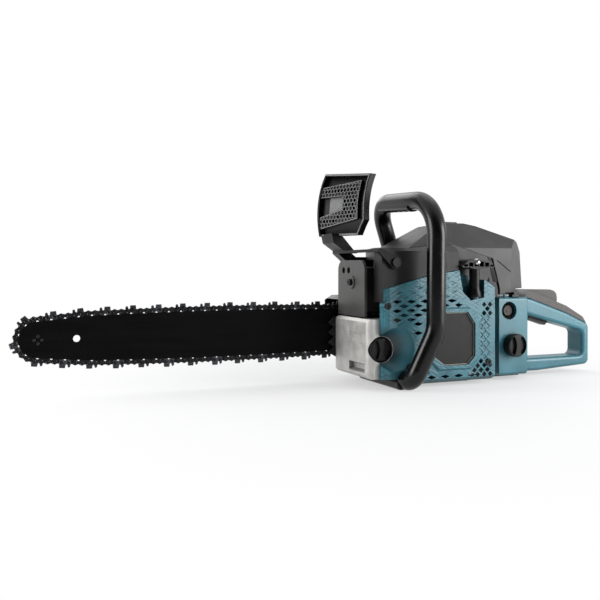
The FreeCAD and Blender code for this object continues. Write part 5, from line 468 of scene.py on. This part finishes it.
# How soft the edges of the seal, the pad, the hood's marks and the neck are
SEAL_SOFT, PAD_SOFT, MARK_SOFT, NECK_SOFT = 0.2, 1.0, 0.05, 0.8


def small_mouldings():
    """The tank's tab, the black seal in the hood's slot and the pad on the hood's ridge."""
    tab = slab(TAB_OUTLINE, TAB_NEAR, TAB_FAR)
    finished("tank_tab", tab, teal_nylon, "root")
    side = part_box("filter_cover")[1].y / MM
    seal = slab(SEAL_OUTLINE, side - SET_IN, side + SEAL_HIGH, SEAL_SOFT)
    finished("hood_slot_seal", seal, soft_rubber, "filter_cover")
    pad = slab(PAD_OUTLINE, PAD_NEAR, PAD_FAR, PAD_SOFT)
    finished("hood_ridge_pad", pad, charcoal_abs, "filter_cover")


# The guard's tray is a stretch of cylinder: its lower right corner, its turn about Z, its width,
# and the middle and radius of its front, in millimetres
GUARD_CORNER = (132.0, -66.0)
GUARD_BACK, GUARD_SIDE = 32.5, 88.0
GUARD_TURN = math.atan2(GUARD_BACK, GUARD_SIDE)
GUARD_LONG = math.hypot(GUARD_BACK, GUARD_SIDE)
GUARD_LOW, GUARD_HIGH = 209.0, 303.0
GUARD_RADIUS, GUARD_MIDDLE = 120.0, 240.0
# The honeycomb's field, the tapered recess in it and the recess's floor, as shares of the
# guard's width and height
FIELD_SHARES = ((0.02, 0.12), (0.83, 0.25), (0.83, 0.82), (0.02, 0.76))
RECESS_SHARES = ((0.0, 0.28), (0.52, 0.40), (0.52, 0.61), (0.0, 0.61))
PANEL_SHARES = ((0.2, 0.34), (0.5, 0.40), (0.5, 0.60), (0.2, 0.60))


def guard_points(shares):
    """Shares of the guard's width and height as (across, up) in millimetres."""
    return [(across * GUARD_LONG, GUARD_LOW + up * (GUARD_HIGH - GUARD_LOW))
            for across, up in shares]


def wrap_on_guard(mesh):
    """Bends a flat mesh of (radius, across, up) in millimetres onto the guard's curved front."""
    for vert in mesh.verts:
        radius, across, up = vert.co
        deep = math.sqrt(radius ** 2 - (up - GUARD_MIDDLE) ** 2) - GUARD_RADIUS
        vert.co = Vector((
            GUARD_CORNER[0] + deep * math.cos(GUARD_TURN) - across * math.sin(GUARD_TURN),
            GUARD_CORNER[1] + deep * math.sin(GUARD_TURN) + across * math.cos(GUARD_TURN),
            up)) * MM


# The honeycomb in millimetres: the radius of the web that it stands on, how far off the web it
# starts, how high it is, the width of a cell with its wall, the wall, and its welding distance
WEB_RADIUS = 117.6
WEB_START, WEB_HIGH = 0.02, 0.9
CELL_PITCH, CELL_WALL = 6.3, 1.5
CELL_WELD = 0.05
# A six-sided cell's distance to its side is this share of its distance to a corner
CELL_SIDE_SHARE = 0.866
# Rows of cells are this share of a cell's distance to a corner apart
ROW_SHARE = 1.5


def guard_web():
    """The honeycomb's front, grey as painted highlight: close six-sided cells round the tapered
    recess.
    """
    outer, inner = CELL_PITCH / math.sqrt(3), (CELL_PITCH - CELL_WALL) / math.sqrt(3)
    upright = Matrix.Rotation(math.pi / 2, 4, "Y") @ Matrix.Rotation(math.pi / 6, 4, "Z")
    mesh = bmesh.new()
    for row in range(int((GUARD_HIGH - GUARD_LOW) / (ROW_SHARE * outer))):
        for column in range(int(GUARD_LONG / CELL_PITCH) + 1):
            spot = Vector((WEB_RADIUS + WEB_START, (column + row % 2 / 2) * CELL_PITCH,
                           GUARD_LOW + row * ROW_SHARE * outer))
            ring = bmesh.ops.create_circle(mesh, segments=6, radius=outer, cap_ends=True,
                                           matrix=Matrix.Translation(spot) @ upright)
            face = ring["verts"][0].link_faces[0]
            bmesh.ops.inset_individual(mesh, faces=[face],
                                       thickness=(outer - inner) * CELL_SIDE_SHARE)
            bmesh.ops.delete(mesh, geom=[face], context="FACES_ONLY")
    bmesh.ops.remove_doubles(mesh, verts=mesh.verts, dist=CELL_WELD)
    field, recess = guard_points(FIELD_SHARES), guard_points(RECESS_SHARES)
    for corners, clears in ((field, True), (recess, False)):
        for start, end in zip(corners, corners[1:] + corners[:1]):
            out = (0, end[1] - start[1], start[0] - end[0])
            bmesh.ops.bisect_plane(mesh, geom=mesh.verts[:] + mesh.edges[:] + mesh.faces[:],
                                   plane_co=(0, *start), plane_no=out, clear_outer=clears)
    lost = [face for face in mesh.faces if all(
        (end[0] - start[0]) * (face.calc_center_median().z - start[1])
        > (end[1] - start[1]) * (face.calc_center_median().y - start[0])
        for start, end in zip(recess, recess[1:] + recess[:1]))]
    bmesh.ops.delete(mesh, geom=lost, context="FACES")
    raised(mesh, (WEB_HIGH, 0, 0))
    wrap_on_guard(mesh)
    finished("guard_web", mesh, grey_web_highlight, "hand_guard")


# The rim in millimetres: its corners (across, up) and the width of the stretch after each
RIM_LEFT = GUARD_LONG - 2.0
RIM_TOP, RIM_FOOT = GUARD_HIGH - 1.8, GUARD_LOW + 1.6
RIM_CORNERS = ((1.5, RIM_TOP), (RIM_LEFT, RIM_TOP - 8.0), (RIM_LEFT, GUARD_LOW + 21.5),
               (GUARD_LONG - 16.5, RIM_FOOT), (8.0, RIM_FOOT))
RIM_WIDTHS = (2.6, 1.3, 1.5, 2.4)
# The ribs round the honeycomb and the recess: their width, how far off the guard they start,
# their height, and the length of a piece that bends as one
RIB_WIDE = 1.3
RIB_START, RIB_HIGH = 0.05, 0.6
RIB_STEP = 5


def guard_ribs():
    """The guard's edges, grey as painted highlight: its rim, and the ribs round the honeycomb
    and the recess.
    """
    field, recess = guard_points(FIELD_SHARES), guard_points(RECESS_SHARES)
    lines = [(start, end, wide, GUARD_RADIUS)
             for start, end, wide in zip(RIM_CORNERS, RIM_CORNERS[1:], RIM_WIDTHS)]
    for corners in (field, recess):
        lines += [(start, end, RIB_WIDE, WEB_RADIUS) for start, end in zip(corners, corners[1:])]
    mesh = bmesh.new()
    for start, end, wide, radius in lines:
        run = Vector((0, end[0] - start[0], end[1] - start[1]))
        middle = Vector((radius + RIB_START, (start[0] + end[0]) / 2, (start[1] + end[1]) / 2))
        lie = Matrix((run.normalized(), Vector((1, 0, 0)).cross(run.normalized()),
                      Vector((1, 0, 0)))).transposed().to_4x4()
        size = Matrix.Diagonal((run.length + wide, wide, 1, 1))
        bmesh.ops.create_grid(mesh, x_segments=max(2, int(run.length / RIB_STEP)), y_segments=1,
                              size=0.5, matrix=Matrix.Translation(middle) @ lie @ size)
    raised(mesh, (RIB_HIGH, 0, 0))
    wrap_on_guard(mesh)
    finished("guard_ribs", mesh, grey_rib_highlight_and_panel, "hand_guard")


# The recess's floor in millimetres: the radius that it lies on and its thickness; and the cuts
# that let it bend
PANEL_RADIUS, PANEL_THICK = 112.7, 0.5
PANEL_CUTS = 5


def guard_panel():
    """The grey floor of the recess at its narrow end."""
    mesh = bmesh.new()
    face = mesh.faces.new([mesh.verts.new((PANEL_RADIUS, across, up))
                           for across, up in guard_points(PANEL_SHARES)])
    bmesh.ops.subdivide_edges(mesh, edges=face.edges[:], cuts=PANEL_CUTS, use_grid_fill=True)
    raised(mesh, (PANEL_THICK, 0, 0))
    wrap_on_guard(mesh)
    finished("guard_panel", mesh, grey_rib_highlight_and_panel, "hand_guard")


def hood_marks():
    """Painted shade: dark marks for the crease down the hood's rear corner and the small pocket
    by the grip.
    """
    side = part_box("filter_cover")[1].y / MM
    for name, outline in (("hood_crease_shade", CREASE_OUTLINE), ("hood_pocket_shade", POCKET_OUTLINE)):
        mark = slab(outline, side - SET_IN, side + MARK_HIGH, MARK_SOFT)
        finished(name, mark, painted_pocket_shade, "filter_cover")


# Raised lines of the casting in millimetres: low and high y, low and high z, then their
# thickness, which is half sunk, and the softness of their edges
CASE_LINES = ((6, 40, 75.5, 76.6), (6, 40, 69.5, 70.6), (6, 7.2, 69.5, 76.6),
              (4, 46, 58.5, 59.6))
CASE_LINE_THICK, CASE_LINE_SOFT = 1.6, 0.25


def case_marks():
    """Raised lines of the casting on the crankcase's front."""
    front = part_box("crankcase_left")[1].x / MM
    mesh = bmesh.new()
    for low_y, high_y, low_z, high_z in CASE_LINES:
        middle = Vector((front, (low_y + high_y) / 2, (low_z + high_z) / 2))
        size = Vector((CASE_LINE_THICK, high_y - low_y, high_z - low_z)) * MM
        bmesh.ops.create_cube(mesh, size=1, matrix=Matrix.Translation(middle * MM)
                              @ Matrix.Diagonal((*size, 1)))
    softened(mesh, CASE_LINE_SOFT)
    finished("case_marks", mesh, cast_magnesium, "root")


# A dark sheet of painted shade behind the open vents: its outline of (x, z) pairs, its near and
# far side counted from the flywheel's left side, and the softness of its edges, in millimetres
SHADE_SHEET_OUTLINE = ((-36, 111), (16, 111), (16, 127), (-36, 127))
SHADE_SHEET_NEAR, SHADE_SHEET_FAR = 0.8, 1.6
SHADE_SHEET_SOFT = 0.2


def vent_shade_sheet():
    """Painted shade: a dark strip behind the open vents, in front of the flywheel."""
    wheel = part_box("flywheel")[1].y / MM
    strip = slab(SHADE_SHEET_OUTLINE, wheel + SHADE_SHEET_NEAR, wheel + SHADE_SHEET_FAR, SHADE_SHEET_SOFT)
    finished("vent_shade_sheet", strip, black_nylon, "root")


# Dark diamonds of painted shade where the small vents behind the label plate are, in
# millimetres:
# their middles (x, z), the y of the skin that they lie on, half their width, and how far they
# stand out of the skin
STRIP_VENT_SHADES = ((-63.5, 111.5), (-73.5, 111.5), (-73.5, 99.3), (-52.5, 26.1), (-73.5, 26.1),
               (-47, 20), (-52.5, 13.9), (-63.5, 13.9), (-73.5, 13.9))
STRIP_Y = 72.02
STRIP_VENT_REACH, STRIP_VENT_HIGH = 3.9, 0.12


def strip_vent_shades():
    """Painted shade: small dark diamonds at both ends of the strip behind the label plate, for
    its vents.
    """
    mesh = bmesh.new()
    for across, up in STRIP_VENT_SHADES:
        lie = (Matrix.Translation(Vector((across, STRIP_Y, up)) * MM)
               @ Matrix.Rotation(-math.pi / 2, 4, "X"))
        bmesh.ops.create_circle(mesh, segments=4, radius=STRIP_VENT_REACH * MM, cap_ends=True,
                                matrix=lie)
    raised(mesh, (0, STRIP_VENT_HIGH * MM, 0))
    finished("strip_vent_shades", mesh, painted_pocket_shade, "root")


def handle_neck():
    """The neck that joins the handle's grey top to the tank, under the hood's rear corner."""
    neck = slab(NECK_OUTLINE, NECK_NEAR, NECK_FAR, NECK_SOFT)
    finished("handle_neck", neck, charcoal_abs, "root")


WHITE = linear("#FFFFFF")
# The room's soft light: where most of it comes from, its least and most strength, and its tint
REAR_LEFT_TOP = (-0.75, 0.45, 0.48)
ROOM_LEAST, ROOM_MOST = 0.14, 0.46
ROOM_TINT = (0.94, 0.97, 1, 1)
# The camera's side of the room, where mirrored rays see it dim, and how dim
CAMERA_SIDE = (0.53, 0.85, 0)
DIM_FROM, DIM_FULL = 0.2, 0.8
DIM_ROOM = 0.06


def studio_room():
    """A white surround, dim where the camera stands, and a soft light that favours the rear."""
    world = bpy.data.worlds.new("studio")
    bpy.context.scene.world = world
    world.use_nodes = True
    tree = world.node_tree
    tree.nodes.clear()
    path = add(tree, "LightPath", {})
    place = add(tree, "TexCoord", {})
    behind = add(tree, "VectorMath", {"operation": "DOT_PRODUCT", 1: REAR_LEFT_TOP},
                 {0: place.outputs["Generated"]})
    soft = add(tree, "MapRange", {"From Min": -1.0, "From Max": 1.0, "To Min": ROOM_LEAST,
                                  "To Max": ROOM_MOST}, {"Value": behind.outputs["Value"]})
    room = add(tree, "Background", {"Color": ROOM_TINT}, {"Strength": soft.outputs[0]})
    front = add(tree, "VectorMath", {"operation": "DOT_PRODUCT", 1: CAMERA_SIDE},
                {0: place.outputs["Generated"]})
    shown = add(tree, "MapRange", {"interpolation_type": "SMOOTHSTEP", "From Min": DIM_FROM,
                                   "From Max": DIM_FULL, "To Min": 1.0, "To Max": DIM_ROOM},
                {"Value": front.outputs["Value"]})
    mirrored = add(tree, "Background", {"Color": WHITE}, {"Strength": shown.outputs[0]})
    plain = add(tree, "Background", {"Color": WHITE, "Strength": 1.0})
    seen = add(tree, "Math", {"operation": "MAXIMUM"},
               {0: path.outputs["Is Camera Ray"], 1: path.outputs["Is Transmission Ray"]})
    lit = add(tree, "MixShader", {}, {0: path.outputs["Is Glossy Ray"], 1: room.outputs[0],
                                      2: mirrored.outputs[0]})
    mixed = add(tree, "MixShader", {}, {0: seen.outputs[0], 1: lit.outputs[0],
                                        2: plain.outputs[0]})
    add(tree, "OutputWorld", {}, {"Surface": mixed.outputs[0]})


# The floor's half width, the distances from the saw between which it fades to plain white, and
# the share of white near the saw
FLOOR_HALF = 8
FADE_FROM, FADE_FULL = 0.2, 0.62
NEAR_WHITE_SHARE = 0.5
# How far to the camera's side its mirrored white starts to dim and is dim, and how dim
FLOOR_DIM_FROM, FLOOR_DIM_FULL = 0.05, 0.5
DIM_FLOOR = 0.08


def studio_floor():
    """A matt white floor that fades to plain white away from the saw and keeps its shadow."""
    sheet = bmesh.new()
    bmesh.ops.create_grid(sheet, x_segments=1, y_segments=1, size=FLOOR_HALF)
    data = bpy.data.meshes.new("floor")
    sheet.to_mesh(data)
    sheet.free()
    floor = placed("floor", data)
    paint = bpy.data.materials.new("matt_white_floor")
    paint.use_nodes = True
    tree = paint.node_tree
    tree.nodes.clear()
    matt = add(tree, "BsdfDiffuse", {"Color": linear("#F8F8F8")})
    glow = add(tree, "Emission", {"Color": WHITE, "Strength": 1.0})
    path = add(tree, "LightPath", {})
    place = add(tree, "TexCoord", {})
    far = add(tree, "VectorMath", {"operation": "LENGTH"}, {0: place.outputs["Object"]})
    fade = add(tree, "MapRange", {"interpolation_type": "SMOOTHSTEP", "From Min": FADE_FROM,
                                  "From Max": FADE_FULL, "To Min": NEAR_WHITE_SHARE,
                                  "To Max": 1.0}, {"Value": far.outputs["Value"]})
    front = add(tree, "VectorMath", {"operation": "DOT_PRODUCT", 1: CAMERA_SIDE},
                {0: place.outputs["Object"]})
    shown = add(tree, "MapRange", {"interpolation_type": "SMOOTHSTEP",
                                   "From Min": FLOOR_DIM_FROM, "From Max": FLOOR_DIM_FULL,
                                   "To Min": 1.0, "To Max": DIM_FLOOR},
                {"Value": front.outputs["Value"]})
    mirror = add(tree, "Math", {"operation": "MULTIPLY"},
                 {0: path.outputs["Is Glossy Ray"], 1: shown.outputs[0]})
    seen = add(tree, "Math", {"operation": "MAXIMUM"},
               {0: path.outputs["Is Camera Ray"], 1: mirror.outputs[0]})
    share = add(tree, "Math", {"operation": "MULTIPLY"},
                {0: seen.outputs[0], 1: fade.outputs[0]})
    both = add(tree, "MixShader", {}, {0: share.outputs[0], 1: matt.outputs[0],
                                       2: glow.outputs[0]})
    add(tree, "OutputMaterial", {}, {"Surface": both.outputs[0]})
    data.materials.append(paint)


# Square lamps: name, place, side and watts; all of them look at the same spot
LAMPS = (("softbox_top", (-0.3, -0.5, 1.8), 1.4, 5),
         ("softbox_left", (1.25, -0.2, 0.45), 0.6, 9),
         ("softbox_right", (-0.75, 0.72, 0.36), 0.6, 10.5),
         ("softbox_back", (0.2, -1.5, 1.2), 1.2, 9))
LAMPS_LOOK_AT = Vector((0.05, 0, 0.12))


def studio_lamps():
    """Four soft lamps, the strongest to the rear on the starter's side."""
    for name, spot, side, power in LAMPS:
        lamp = bpy.data.lights.new(name, "AREA")
        lamp.shape = "SQUARE"
        lamp.size = side
        lamp.energy = power
        held = placed(name, lamp)
        held.visible_camera = False
        held.location = spot
        aim = LAMPS_LOOK_AT - Vector(spot)
        held.rotation_euler = aim.to_track_quat("-Z", "Y").to_euler()


# The photograph's camera: sensor and lens in millimetres, the shift, the place and the turn
SENSOR, LENS = 36, 42.66
LENS_SHIFT = -0.0525
CAMERA_SPOT = (0.558, 0.896, 0.162)
CAMERA_TURN = math.radians(157.5)


def level_camera():
    """The photograph's level view from the front left; its lens shift only frames the saw."""
    lens = bpy.data.cameras.new("camera")
    lens.sensor_width = SENSOR
    lens.lens = LENS
    lens.shift_y = LENS_SHIFT
    camera = placed("camera", lens)
    camera.location = CAMERA_SPOT
    camera.rotation_euler = (math.pi / 2, 0, CAMERA_TURN)
    bpy.context.scene.camera = camera
    bpy.context.scene.view_settings.view_transform = "Standard"


nose_rivets()
starter_cord()
buffer_cap()
plate_lip()
small_mouldings()
guard_web()
guard_ribs()
guard_panel()
hood_marks()
case_marks()
vent_shade_sheet()
strip_vent_shades()
handle_neck()
studio_room()
studio_floor()
studio_lamps()
level_camera()
bpy.context.view_layer.update()
